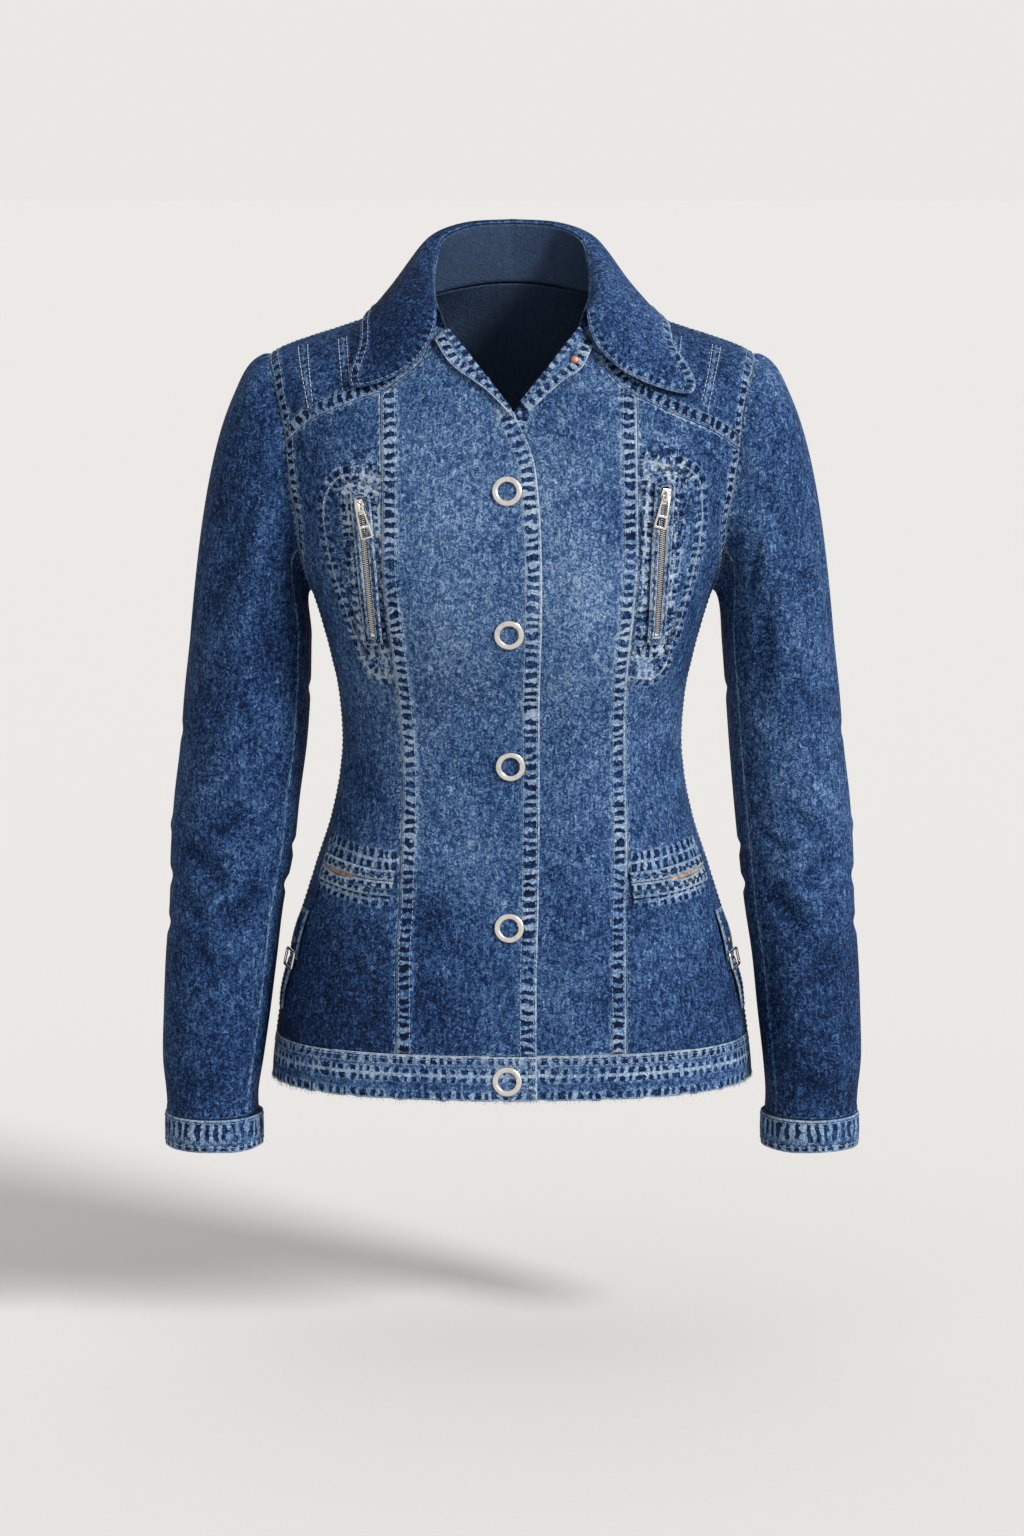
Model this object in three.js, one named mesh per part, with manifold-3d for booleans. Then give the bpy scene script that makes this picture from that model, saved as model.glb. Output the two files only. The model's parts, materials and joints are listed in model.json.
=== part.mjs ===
// Women's denim jacket, worn open at the neck, as its cut pieces and metal trim.
// Millimetres, +Z up, front towards -Y, +X towards the wearer's left.
// The origin is the middle of the neck base, where the wearer carries the jacket.
import * as THREE from 'three';
import { mergeVertices } from 'three/addons/utils/BufferGeometryUtils.js';
import Module from 'manifold-3d';

const wasm = await Module();
wasm.setup();

// Driving sizes
const CLOTH = 1.2;            // wall of one seamed denim panel
const BAND_CLOTH = 2.0;       // folded double cloth of hem band and cuffs
const SEAM_HALF = 0.2;        // each edge stands back this far from its seam line
const LAY = 0.4;              // air between a panel and what lies on it
const UNDERLAP = 2.4;         // how far the left front lies below the right front
const BAND_TOP = -557;        // height of the hem band's seam
const HEM = -590;             // bottom edge of the hem band
const UNDERARM = -223;        // top of the side seam
const SHOULDER_END = -48;     // height of the shoulder point
const NECK_RING = -14;        // height of the neckline at the side of the neck
const CUFF_TOP = -615;
const CUFF_BOTTOM = -640;
const SIDES = { right: -1, left: 1 };

// Rows of the trunk, from hem to neck: height at the side, half width,
// depth and height at centre front, depth and height at centre back.
const TRUNK = [
  { side: -592, half: 181, front: 106, frontZ: -592, back: 112, backZ: -592 },
  { side: -555, half: 177, front: 103, frontZ: -555, back: 112, backZ: -555 },
  { side: -520, half: 171, front: 98, frontZ: -520, back: 110, backZ: -520 },
  { side: -480, half: 162, front: 94, frontZ: -480, back: 104, backZ: -480 },
  { side: -434, half: 148, front: 90, frontZ: -434, back: 93, backZ: -434 },
  { side: -390, half: 134, front: 87, frontZ: -390, back: 81, backZ: -390 },
  { side: -345, half: 126.5, front: 87, frontZ: -345, back: 74, backZ: -345 },
  { side: -300, half: 128.5, front: 95, frontZ: -300, back: 78, backZ: -300 },
  { side: -265, half: 136, front: 106, frontZ: -265, back: 86, backZ: -265 },
  { side: -230, half: 146, front: 112, frontZ: -230, back: 93, backZ: -230 },
  { side: -190, half: 161, front: 111, frontZ: -196, back: 98, backZ: -190 },
  { side: -130, half: 179, front: 105, frontZ: -158, back: 100, backZ: -143 },
  { side: -80, half: 183, front: 98, frontZ: -125, back: 95, backZ: -98 },
  { side: -48, half: 177, front: 91, frontZ: -98, back: 83, backZ: -58 },
  { side: -28, half: 125, front: 83, frontZ: -66, back: 69, backZ: -24 },
  { side: -14, half: 76, front: 72, frontZ: -36, back: 54, backZ: 2 },
];
const TRUNK_SQUARENESS = 0.05;

// Soft folds of the trunk and sleeves: place, direction and size of each trough or ridge.
// angle in degrees round the form, z its middle height, lean in degrees from upright.
const TRUNK_FOLDS = [
  { angle: -26, z: -460, lean: -38, long: 110, wide: 20, rise: -3.0 },
  { angle: -16, z: -500, lean: -34, long: 100, wide: 18, rise: 2.2 },
  { angle: 36, z: -450, lean: 34, long: 110, wide: 22, rise: -2.6 },
  { angle: 60, z: -350, lean: 74, long: 90, wide: 18, rise: -2.4 },
  { angle: -62, z: -352, lean: -74, long: 90, wide: 18, rise: -2.4 },
  { angle: 142, z: -345, lean: 76, long: 130, wide: 20, rise: -3.2 },
  { angle: -146, z: -362, lean: -72, long: 120, wide: 20, rise: -3.0 },
  { angle: 150, z: -480, lean: 24, long: 150, wide: 26, rise: 3.0 },
  { angle: -158, z: -490, lean: -20, long: 150, wide: 26, rise: -3.0 },
];
const SLEEVE_FOLDS = [
  { angle: 60, z: -200, lean: 10, long: 130, wide: 17, rise: -3.0 },
  { angle: 108, z: -250, lean: -8, long: 120, wide: 15, rise: -2.6 },
  { angle: 84, z: -395, lean: 58, long: 60, wide: 13, rise: -3.6 },
  { angle: 70, z: -428, lean: -56, long: 66, wide: 13, rise: -4.0 },
  { angle: 106, z: -462, lean: 52, long: 62, wide: 13, rise: -3.6 },
  { angle: 76, z: -498, lean: -50, long: 58, wide: 13, rise: -3.0 },
  { angle: 250, z: -402, lean: 60, long: 70, wide: 14, rise: -3.6 },
  { angle: 285, z: -446, lean: -56, long: 70, wide: 14, rise: -3.8 },
  { angle: 262, z: -488, lean: 56, long: 60, wide: 14, rise: -3.0 },
  { angle: 90, z: -590, lean: 84, long: 60, wide: 10, rise: -2.0 },
  { angle: 268, z: -588, lean: 86, long: 60, wide: 10, rise: -2.0 },
];

// Seams as seen from the front: x on the wearer's right and left, and height.
const PRINCESS = [
  { z: -156, right: -94, left: 91 },
  { z: -195, right: -94, left: 91 },
  { z: -234, right: -90.5, left: 88 },
  { z: -286, right: -84, left: 83.5 },
  { z: -342, right: -80, left: 83 },
  { z: -403, right: -81, left: 84.5 },
  { z: -484, right: -85, left: 84 },
  { z: BAND_TOP, right: -85, left: 84 },
];
const YOKE_SEAM = {
  right: [
    { x: -165, z: -110 }, { x: -146, z: -93 }, { x: -115, z: -79 },
    { x: -95, z: -72 }, { x: -80, z: -62 }, { x: -66, z: -50 },
  ],
  left: [
    { x: 166, z: -115 }, { x: 148, z: -102 }, { x: 111, z: -85 },
    { x: 90, z: -75 }, { x: 77, z: -66 }, { x: 65, z: -51 },
  ],
};
const YOKE_PRINCESS_ROW = 3;  // the yoke row where the princess seam starts
const NECK_END = { right: -44, left: 44 };     // angle of the yoke seam on the neck ring
const NECK_FRONT = { right: -36, left: 38 };   // angle where the fronts' edge starts
const V_POINT = { x: 1, z: -86 };
const FRONT_EDGE = [
  { z: -94, x: 5 }, { z: -118, x: 15.3 }, { z: -149, x: 19.6 }, { z: -194, x: 21.7 },
  { z: -238, x: 21.7 }, { z: -293, x: 20.3 }, { z: -362, x: 20.4 }, { z: -443, x: 19.7 },
  { z: -505, x: 18.3 }, { z: BAND_TOP, x: 18.3 },
];
const ARMHOLE_FRONT = [  // from the yoke seam down to the underarm, x outwards
  { x: 162, z: -142 }, { x: 157, z: -172 },
];
const ARMHOLE_YOKE = [   // from the yoke seam up towards the shoulder
  { x: 168.5, z: -88 }, { x: 174, z: -66 },
];
const FACING_EDGE = {    // cloth edge of the fronts where they turn back at the neck
  right: [{ x: -56, z: -36 }, { x: -44, z: -53 }, { x: -18, z: -71.5 }, { x: 0.5, z: -90 }],
  left: [{ x: 58, z: -41 }, { x: 50, z: -56 }, { x: 36, z: -65 }, { x: 12, z: -86 }],
};
const FACING_STOP = { right: 0.97, left: 0.88 };  // share of the fold that shows its facing
const UNDERLAP_FROM = 25;     // x where the left front starts to rise to its own level
const UNDERLAP_TO = 46;
const BACK_YOKE_ARM = { angle: 124, side: -128 };   // back yoke seam at the armhole
const BACK_YOKE_MID = -150;                         // its height at centre back
const BACK_PRINCESS = [
  { z: -170, x: 92 }, { z: -240, x: 84 }, { z: -345, x: 58 }, { z: -440, x: 72 },
  { z: BAND_TOP, x: 88 },
];

// Grid counts
const SIDE_ROWS = 10;
const ARM_ROWS = 6;
const YOKE_ARM_ROWS = 4;
const CENTRE_COLS = 4;
const SIDE_COLS = 5;
const YOKE_COLS = 3;
const FOLD_COLS = 4;
const FACING_ROWS = 8;
const FACING_COLS = 2;
const HALF_RING = ARM_ROWS + YOKE_ARM_ROWS;    // armhole steps from underarm to shoulder

// Rows of a sleeve below its head: outer x, inner x of each sleeve, middle y, half depth.
const SLEEVE = [
  { z: -615, outer: 259.5, right: 191, left: 190.5, y: -20, depth: 36 },
  { z: -600, outer: 260.5, right: 191, left: 191, y: -18, depth: 37 },
  { z: -575, outer: 263, right: 187, left: 189, y: -15, depth: 41 },
  { z: -540, outer: 262.5, right: 182, left: 185, y: -9, depth: 43 },
  { z: -500, outer: 261, right: 177, left: 181, y: -3, depth: 45 },
  { z: -460, outer: 258, right: 172, left: 175, y: 2, depth: 46 },
  { z: -420, outer: 257, right: 164, left: 170.5, y: 6, depth: 47 },
  { z: -380, outer: 254, right: 159.5, left: 166.5, y: 8, depth: 49 },
  { z: -340, outer: 249, right: 154, left: 163, y: 9, depth: 52 },
  { z: -300, outer: 245.5, right: 151, left: 160, y: 9, depth: 55 },
  { z: -262, outer: 241, right: 150, left: 157, y: 8, depth: 57 },
];
const BICEP = -262;            // where the sleeve head ends and the tube begins
const TUBE_ROWS = 16;
const RING = 2 * HALF_RING;    // points round a sleeve, starting at the shoulder
const FRONT_SLEEVE_SEAM = 8;   // ring step of the seam at the front of the arm
const BACK_SLEEVE_SEAM = 13;   // ring step of the seam at the back of the arm
const CUFF = { inner: 187, outer: 261.5, y: -21, depth: 38 };

const HEAD_STOPS = [0, 0.1, 0.22, 0.36, 0.52, 0.68, 0.84, 1];
const HEAD_OUT = 0.58;         // the head leaves the armhole outwards, as a share of its length
const HEAD_DROP = 0.13;
const HEAD_PUFF = 0.12;
const HEAD_LEAN = 0.09;
const SLEEVE_RADIUS = 48;

// Collar stations from the front end to the middle of the back: roll line, knee and brim of
// its curve, and the edge as an angle and side height on the trunk with its lift.
const COLLAR = [
  { rollX: 54, rollY: -52, rollZ: -12, kneeX: 52, kneeY: -76, kneeZ: -26,
    brimX: 60, brimY: -88, brimZ: -62, edgeAngle: 40.5, edgeSide: -44, lift: 5, footAngle: 37, tip: 1 },
  { rollX: 56, rollY: -36, rollZ: -3, kneeX: 62, kneeY: -62, kneeZ: 4,
    brimX: 84, brimY: -76, brimZ: -40, edgeAngle: 54, edgeSide: -29.5, lift: 5, footAngle: 48, tip: 0.4 },
  { rollX: 56, rollY: -14, rollZ: 10, kneeX: 68, kneeY: -26, kneeZ: 24,
    brimX: 92, brimY: -42, brimZ: -12, edgeAngle: 72, edgeSide: -24, lift: 4.5, footAngle: 70,
    tip: 0.2 },
  { rollX: 55, rollY: 4, rollZ: 20, kneeX: 63, kneeY: 6, kneeZ: 40,
    brimX: 88, brimY: 10, brimZ: 4, edgeAngle: 94, edgeSide: -22, lift: 4, footAngle: 92, tip: 0 },
  { rollX: 50, rollY: 26, rollZ: 36, kneeX: 62, kneeY: 36, kneeZ: 52,
    brimX: 78, brimY: 54, brimZ: 8, edgeAngle: 122, edgeSide: -21, lift: 4, footAngle: 122, tip: 0 },
  { rollX: 30, rollY: 48, rollZ: 45, kneeX: 38, kneeY: 62, kneeZ: 58,
    brimX: 46, brimY: 78, brimZ: 16, edgeAngle: 150, edgeSide: -21, lift: 4, footAngle: 152, tip: 0 },
  { rollX: 0, rollY: 57, rollZ: 47, kneeX: 0, kneeY: 72, kneeZ: 60,
    brimX: 0, brimY: 86, brimZ: 18, edgeAngle: 180, edgeSide: -22, lift: 4, footAngle: 180, tip: 0 },
];
const TIP_TURN = { right: 0, left: 3 };        // the left collar point lies a little further out
const TIP_DROP = { right: 0, left: -6.5 };
const COLLAR_STEPS = 2;
const FALL_ROWS = 7;
const STAND_ROWS = 2;
const COLLAR_CLOTH = 1.6;
const STAND_GAP = 1.0;
const ROLL_OUT = 1.2;          // the fall starts this far outside the stand's top
const NECK_SHIFT = 5;

// Chest zips and waist pockets as seen from the front
const ZIP = {
  right: [{ x: -109, z: -148 }, { x: -100, z: -249 }],
  left: [{ x: 110, z: -140 }, { x: 104, z: -249 }],
};
const ZIP_ROWS = 8;
const ZIP_SLIDER_STEP = 2;     // quarter rows down from the top of the zip
const ZIP_LEAN_SHARE = 0.6;
const ZIP_TAPE = { half: 5.5, thick: 0.8 };
const ZIP_LIP = { slotHalf: 2.6, half: 8, end: 6, thick: 0.9 };
const SLIDER = {
  long: 5.6, half: 3.7, thick: 1.2, pivot: 2.9, bridgeHalf: 1.1,
  legIn: 2.8, legOut: 4.1, windowTop: 4.2, bridgeTop: 5.2,
};
const SLIDER_TAPER = 0.6;
const PULL = { long: 23.5, topHalf: 3, endHalf: 5, rim: 1.2, bar: 1.5, thick: 1.2, crossAt: 14 };
const PULL_REST = 5.5;          // degrees that the pull leans towards the cloth at rest
const POCKET_SLIT = {
  right: [{ x: -139, z: -425 }, { x: -107, z: -430.5 }, { x: -87, z: -431 }],
  left: [{ x: 141, z: -427 }, { x: 110, z: -431.5 }, { x: 87.5, z: -432.5 }],
};
const POCKET_COLS = 8;
const POCKET_GAPE = 3;
const LIP_OUT = 0.9;
const LIP = { upper: { near: 0.3, far: 8 }, lower: { near: -0.3, far: -11 } };

// Side tabs: [angle, side height] places on the trunk
const SIDE_TAB = {
  strap: [[76, -461], [75.5, -479], [75.5, -498]], strapHalf: [9, 10, 9.5],
  tail: [[77.5, -500], [79, -518], [79.5, -537]], tailHalf: [8.5, 7.5, 6],
  ring: [75.5, -499], rivet: [76.5, -485], out: 0.6,
  ringHalfWide: 12.2, ringHalfTall: 7.5, ringBar: 2.2, ringThick: 2, ringLift: 0.4,
};
const SIDE_TAB_ROWS = 5;
const RIVET = [[0, 0], [3, 0], [3.2, 0.5], [2.2, 1.3], [0, 1.5]];
const RIVET_SIDES = 12;
const SNAP_PROFILE = [[6.5, 0], [11, 0], [11, 1], [9.8, 2.2], [7.8, 2.2], [6.5, 1.2], [6.5, 0]];
const SNAP_SIDES = 20;
const RING_SNAPS = [
  { x: -3.5, z: -142, out: 0.3 }, { x: -2, z: -245, out: 0.3 }, { x: -1, z: -344, out: 1.2 },
  { x: -2, z: -463, out: 0.3 }, { x: -3.5, z: -575, out: 0.9 },
];
const NECK_STUD = { x: 45, z: -50 };
const FACING_RISE = 1.2;       // the turned-back edge stands off the panel
const BAND_OUT = 0.5;
const BAND_UNDERLAP = 2.6;
const BAND_COLS = 10;
const FRONT_EDGE_X = 18.3;

const radians = THREE.MathUtils.degToRad;
const mix = (from, to, share) => from + (to - from) * share;

/** Smooth bump of one fold: 1 on its line, 0 away from it. */
function bump(distance, reach) {
  const q = Math.abs(distance) / reach;
  return q < 1 ? (1 - q * q) ** 2 : 0;
}

/** Height of all folds at an angle and height on a form of the given radius. */
function foldRise(folds, angle, z, radius) {
  let rise = 0;
  for (const fold of folds) {
    const turn = ((angle - fold.angle + 540) % 360) - 180;
    const across = radians(turn) * radius;
    const up = z - fold.z;
    const lean = radians(fold.lean);
    const along = up * Math.cos(lean) + across * Math.sin(lean);
    const aside = across * Math.cos(lean) - up * Math.sin(lean);
    rise += fold.rise * bump(along, fold.long / 2) * bump(aside, fold.wide);
  }
  return rise;
}

/** Smooth value of one column of a table whose rows run along `key`. */
function column(rows, key, name, at) {
  let i = rows.findIndex((row) => row[key] >= at);
  if (i < 0) i = rows.length - 1;
  i = Math.max(1, i) - 1;
  const slope = (k) => {
    const lo = rows[Math.max(0, k - 1)];
    const hi = rows[Math.min(rows.length - 1, k + 1)];
    return (hi[name] - lo[name]) / (hi[key] - lo[key]);
  };
  const span = rows[i + 1][key] - rows[i][key];
  const t = (at - rows[i][key]) / span;
  const t2 = t * t;
  const t3 = t2 * t;
  return (2 * t3 - 3 * t2 + 1) * rows[i][name] + (t3 - 2 * t2 + t) * span * slope(i)
    + (3 * t2 - 2 * t3) * rows[i + 1][name] + (t3 - t2) * span * slope(i + 1);
}

/** Point of the plain trunk form at an angle (0 front, 90 left, 180 back) and side height. */
function trunkForm(angle, side) {
  const s = Math.sin(radians(angle));
  const c = Math.cos(radians(angle));
  const half = column(TRUNK, 'side', 'half', side);
  const depth = column(TRUNK, 'side', c > 0 ? 'front' : 'back', side);
  const middle = column(TRUNK, 'side', c > 0 ? 'frontZ' : 'backZ', side);
  const square = 1 + TRUNK_SQUARENESS * (2 * s * c) ** 2;
  return new THREE.Vector3(half * s * square, -depth * c * square, mix(side, middle, c * c));
}

/** Outward normal of a surface given by a function of two values. */
function surfaceNormal(surface, a, b, da, db) {
  const alongA = surface(a + da, b).sub(surface(a - da, b));
  const alongB = surface(a, b + db).sub(surface(a, b - db));
  return alongA.cross(alongB).normalize();
}

/** Point of the trunk with its folds, moved out along its normal. */
function trunk(angle, side, out = 0) {
  const at = Math.min(Math.max(side, TRUNK[0].side + 1), NECK_RING - 0.5);
  const normal = surfaceNormal(trunkForm, angle, at, 0.5, 0.5);
  const form = trunkForm(angle, side);
  const rise = foldRise(TRUNK_FOLDS, angle, form.z, 130);
  return form.addScaledVector(normal, rise + out);
}

/** Normal of the trunk there. */
function trunkNormal(angle, side) {
  const at = Math.min(Math.max(side, TRUNK[0].side + 2), NECK_RING - 1.5);
  return surfaceNormal((a, b) => trunk(a, b), angle, at, 0.8, 1);
}

/** Angle and side height of the trunk point seen at x and z, on the front or the back. */
function seenAt(x, z, onBack = false) {
  const point = (a, side) => trunkForm(onBack ? 180 - a : a, side);
  let a = THREE.MathUtils.radToDeg(Math.asin(Math.min(0.97, Math.max(-0.97, x / 190))));
  let side = Math.max(TRUNK[0].side, Math.min(-30, z * 0.9));
  for (let pass = 0; pass < 40; pass += 1) {
    const here = point(a, side);
    const byA = point(a + 0.1, side).sub(here).multiplyScalar(10);
    const bySide = point(a, side + 0.1).sub(here).multiplyScalar(10);
    const det = byA.x * bySide.z - bySide.x * byA.z;
    const dx = x - here.x;
    const dz = z - here.z;
    const stepA = (dx * bySide.z - dz * bySide.x) / det;
    const stepSide = (dz * byA.x - dx * byA.z) / det;
    a += Math.max(-12, Math.min(12, stepA)) * 0.8;
    side += Math.max(-25, Math.min(25, stepSide)) * 0.8;
    side = Math.min(NECK_RING, Math.max(TRUNK[0].side, side));
  }
  return [onBack ? 180 - a : a, side];
}

/** Evenly spaced points along a smooth line through places given as [angle, side]. */
function seam(places, count) {
  const stretch = 2;  // one degree is about two millimetres on the trunk
  const line = new THREE.CatmullRomCurve3(
    places.map(([a, side]) => new THREE.Vector3(a * stretch, side, 0)), false, 'centripetal');
  return line.getSpacedPoints(count).map((p) => [p.x / stretch, p.y]);
}

/** Evenly spaced places along a smooth line drawn in the front or back view as {x, z}. */
function drawnSeam(points, count, onBack = false) {
  const line = new THREE.CatmullRomCurve3(
    points.map(({ x, z }) => new THREE.Vector3(x, z, 0)), false, 'centripetal');
  return line.getSpacedPoints(count).map((p) => seenAt(p.x, p.y, onBack));
}

/** Where a place on the trunk is seen in the front or back view. */
function viewOf([angle, side]) {
  const { x, z } = trunkForm(angle, side);
  return { x, z };
}

/** Fills the space between four edges of [angle, side] places with a grid of places. */
function fillGrid(bottom, top, start, end) {
  const cols = bottom.length - 1;
  const rows = start.length - 1;
  const grid = [];
  for (let j = 0; j <= rows; j += 1) {
    const v = j / rows;
    const line = [];
    for (let i = 0; i <= cols; i += 1) {
      const u = i / cols;
      line.push([0, 1].map((k) => (1 - v) * bottom[i][k] + v * top[i][k]
        + (1 - u) * start[j][k] + u * end[j][k]
        - (1 - u) * (1 - v) * bottom[0][k] - u * (1 - v) * bottom[cols][k]
        - (1 - u) * v * top[0][k] - u * v * top[cols][k]));
    }
    grid.push(line);
  }
  return grid;
}

/** The same fill, made in the front view, where the edges are far from the trunk's sides. */
function fillInView(...edges) {
  const flat = edges.map((line) => line.map((place) => {
    const { x, z } = viewOf(place);
    return [x, z];
  }));
  return fillGrid(...flat).map((line) => line.map(([x, z]) => seenAt(x, z)));
}

/** Moves the outer rows and columns of a point grid inwards by the seam allowance. */
function drawIn(points, amount, round) {
  const rows = points.length - 1;
  const cols = points[0].length - 1;
  const moved = points.map((line) => line.map((p) => p.clone()));
  const shift = (j, i, j2, i2) => {
    const way = points[j2][i2].clone().sub(points[j][i]);
    moved[j][i].addScaledVector(way.normalize(), amount);
  };
  for (let i = 0; i <= cols; i += 1) {
    shift(0, i, 1, i);
    shift(rows, i, rows - 1, i);
  }
  for (let j = 0; j <= rows && !round; j += 1) {
    shift(j, 0, j, 1);
    shift(j, cols, j, cols - 1);
  }
  return moved;
}

/** Closed wall over a grid of outer points, thickened inwards along the normals. */
function wall(points, normals, thickness, round = false) {
  const rows = points.length;
  const cols = points[0].length;
  const position = [];
  const index = [];
  for (const depth of [0, thickness]) {
    for (let j = 0; j < rows; j += 1) {
      for (let i = 0; i < cols; i += 1) {
        const p = points[j][i].clone().addScaledVector(normals[j][i], -depth);
        position.push(p.x, p.y, p.z);
      }
    }
  }
  const outer = (j, i) => j * cols + (i % cols);
  const inner = (j, i) => rows * cols + outer(j, i);
  const quad = (a, b, c, d) => index.push(a, b, c, a, c, d);
  const last = round ? cols : cols - 1;
  for (let j = 0; j < rows - 1; j += 1) {
    for (let i = 0; i < last; i += 1) {
      quad(outer(j, i), outer(j, i + 1), outer(j + 1, i + 1), outer(j + 1, i));
      quad(inner(j, i), inner(j + 1, i), inner(j + 1, i + 1), inner(j, i + 1));
    }
  }
  for (let i = 0; i < last; i += 1) {
    quad(outer(0, i), inner(0, i), inner(0, i + 1), outer(0, i + 1));
    quad(outer(rows - 1, i), outer(rows - 1, i + 1), inner(rows - 1, i + 1), inner(rows - 1, i));
  }
  for (let j = 0; j < rows - 1 && !round; j += 1) {
    quad(outer(j, 0), outer(j + 1, 0), inner(j + 1, 0), inner(j, 0));
    quad(outer(j, cols - 1), inner(j, cols - 1), inner(j + 1, cols - 1), outer(j + 1, cols - 1));
  }
  return facingOut(position, index);
}

/** Geometry from positions and triangles, turned so that its volume is positive. */
function facingOut(position, index) {
  const at = (k) => new THREE.Vector3().fromArray(position, index[k] * 3);
  let volume = 0;
  for (let k = 0; k < index.length; k += 3) {
    volume += at(k).dot(at(k + 1).cross(at(k + 2)));
  }
  const geometry = new THREE.BufferGeometry();
  geometry.setAttribute('position', new THREE.Float32BufferAttribute(position, 3));
  geometry.setIndex(volume < 0 ? index.slice().reverse() : index);
  geometry.computeVertexNormals();
  return geometry;
}

/** Normals of a point grid from its neighbours, turned away from the inner reference point. */
function gridNormals(points, round, isOutward) {
  const rows = points.length;
  const cols = points[0].length;
  return points.map((line, j) => line.map((p, i) => {
    const left = round ? (i + cols - 1) % cols : Math.max(0, i - 1);
    const right = round ? (i + 1) % cols : Math.min(cols - 1, i + 1);
    const along = points[j][right].clone().sub(points[j][left]);
    const up = points[Math.min(rows - 1, j + 1)][i].clone().sub(points[Math.max(0, j - 1)][i]);
    const normal = along.cross(up).normalize();
    return isOutward(p, normal, j, i) ? normal : normal.negate();
  }));
}

/** A cut panel of the trunk over a grid of [angle, side] places. */
function trunkPanel(grid, { thickness = CLOTH, lift = () => 0, gap = SEAM_HALF } = {}) {
  const normals = grid.map((line) => line.map(([a, side]) => trunkNormal(a, side)));
  const points = grid.map((line, j) => line.map(([a, side], i) => {
    const p = trunk(a, side);
    return p.addScaledVector(normals[j][i], lift(p, i / (line.length - 1), j));
  }));
  return wall(drawIn(points, gap), normals, thickness);
}

const reversed = (places) => places.slice().reverse();
const joined = (first, second) => first.concat(second.slice(1));

/** All seam lines of one half of the front, as lists of [angle, side] places. */
function frontSeams(name) {
  const s = SIDES[name];
  const yoke = YOKE_SEAM[name];
  const corner = yoke[YOKE_PRINCESS_ROW];
  const arm = seenAt(yoke[0].x, yoke[0].z);
  const neckEnd = [NECK_END[name], NECK_RING];
  const neckFront = [NECK_FRONT[name], NECK_RING];
  const edge = [V_POINT, ...FRONT_EDGE].map((row) => (
    { x: name === 'right' ? row.x : 2 * V_POINT.x - row.x, z: row.z }));
  const outwards = (row) => seenAt(s * row.x, row.z);
  const princess = PRINCESS.map((row) => ({ x: row[name], z: row.z }));
  const underarm = [s * 90, UNDERARM];
  const rows = SIDE_ROWS + ARM_ROWS;
  return {
    yokeSide: drawnSeam(yoke.slice(0, YOKE_PRINCESS_ROW + 1), SIDE_COLS),
    yokeCentre: drawnSeam([...yoke.slice(YOKE_PRINCESS_ROW), viewOf(neckEnd)], YOKE_COLS),
    neck: seam([neckEnd, neckFront], 1),
    fold: drawnSeam([viewOf(neckFront), V_POINT], FOLD_COLS),
    edge: drawnSeam(edge, rows),
    princess: drawnSeam([corner, ...princess], rows),
    sideSeam: seam([[s * 90, BAND_TOP], underarm], SIDE_ROWS),
    armLower: seam([underarm, ...reversed(ARMHOLE_FRONT).map(outwards), arm], ARM_ROWS),
    armUpper: seam([arm, ...ARMHOLE_YOKE.map(outwards), [s * 90, SHOULDER_END]], YOKE_ARM_ROWS),
    shoulder: seam([[s * 90, SHOULDER_END], [s * 90, NECK_RING]], SIDE_COLS + YOKE_COLS),
    neckSide: seam([neckEnd, [s * 90, NECK_RING]], YOKE_ARM_ROWS),
    band: drawnSeam([princess[princess.length - 1], edge[edge.length - 1]],
      YOKE_COLS + 1 + FOLD_COLS),
  };
}

/** Seams of one half of the back; the wearer's right runs from angle 180 to 270. */
function backSeams(name) {
  const own = (places) => (name === 'left' ? places : places.map(([a, side]) => [360 - a, side]));
  const yokeTop = [BACK_YOKE_ARM.angle, BACK_YOKE_ARM.side];
  const corner = { x: BACK_PRINCESS[0].x, z: BACK_YOKE_MID + 2 };
  const princess = [corner, ...BACK_PRINCESS.slice(1)];
  const foot = princess[princess.length - 1];
  const lower = [[90, UNDERARM], [104, -212], [118, -178], yokeTop];
  const upper = [yokeTop, [121, -95], [109, -64], [90, SHOULDER_END]];
  return {
    yokeSide: own(drawnSeam([viewOf(yokeTop), corner], SIDE_COLS, true)),
    yokeCentre: own(drawnSeam([corner, { x: 0, z: BACK_YOKE_MID }], CENTRE_COLS, true)),
    princess: own(drawnSeam(princess, SIDE_ROWS + ARM_ROWS, true)),
    sideSeam: own(seam([[90, BAND_TOP], [90, UNDERARM]], SIDE_ROWS)),
    armLower: own(seam(lower, ARM_ROWS)),
    armUpper: own(seam(upper, YOKE_ARM_ROWS)),
    shoulder: own(seam([[90, SHOULDER_END], [90, NECK_RING]], SIDE_COLS + YOKE_COLS)),
    bandSide: own(seam([[90, BAND_TOP], seenAt(foot.x, foot.z, true)], SIDE_COLS)),
    bandCentre: own(drawnSeam([foot, { x: 0, z: BAND_TOP }], CENTRE_COLS, true)),
  };
}

const FRONT = { right: frontSeams('right'), left: frontSeams('left') };
const BACK = { right: backSeams('right'), left: backSeams('left') };

/** How deep the left front and its band lie where the right front covers them. */
function underlapLift(p) {
  const clear = THREE.MathUtils.smoothstep(p.x, UNDERLAP_FROM, UNDERLAP_TO);
  return -UNDERLAP * (1 - clear);
}

/** Grid of the front panel between the princess seam and the front edge. */
function frontCentre(name) {
  const lines = FRONT[name];
  const top = joined(joined(lines.yokeCentre, lines.neck), lines.fold);
  const princess = reversed(lines.princess);
  const edge = reversed(lines.edge);
  return name === 'right'
    ? fillInView(lines.band, top, princess, edge)
    : fillInView(reversed(lines.band), reversed(top), edge, princess);
}

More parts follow.
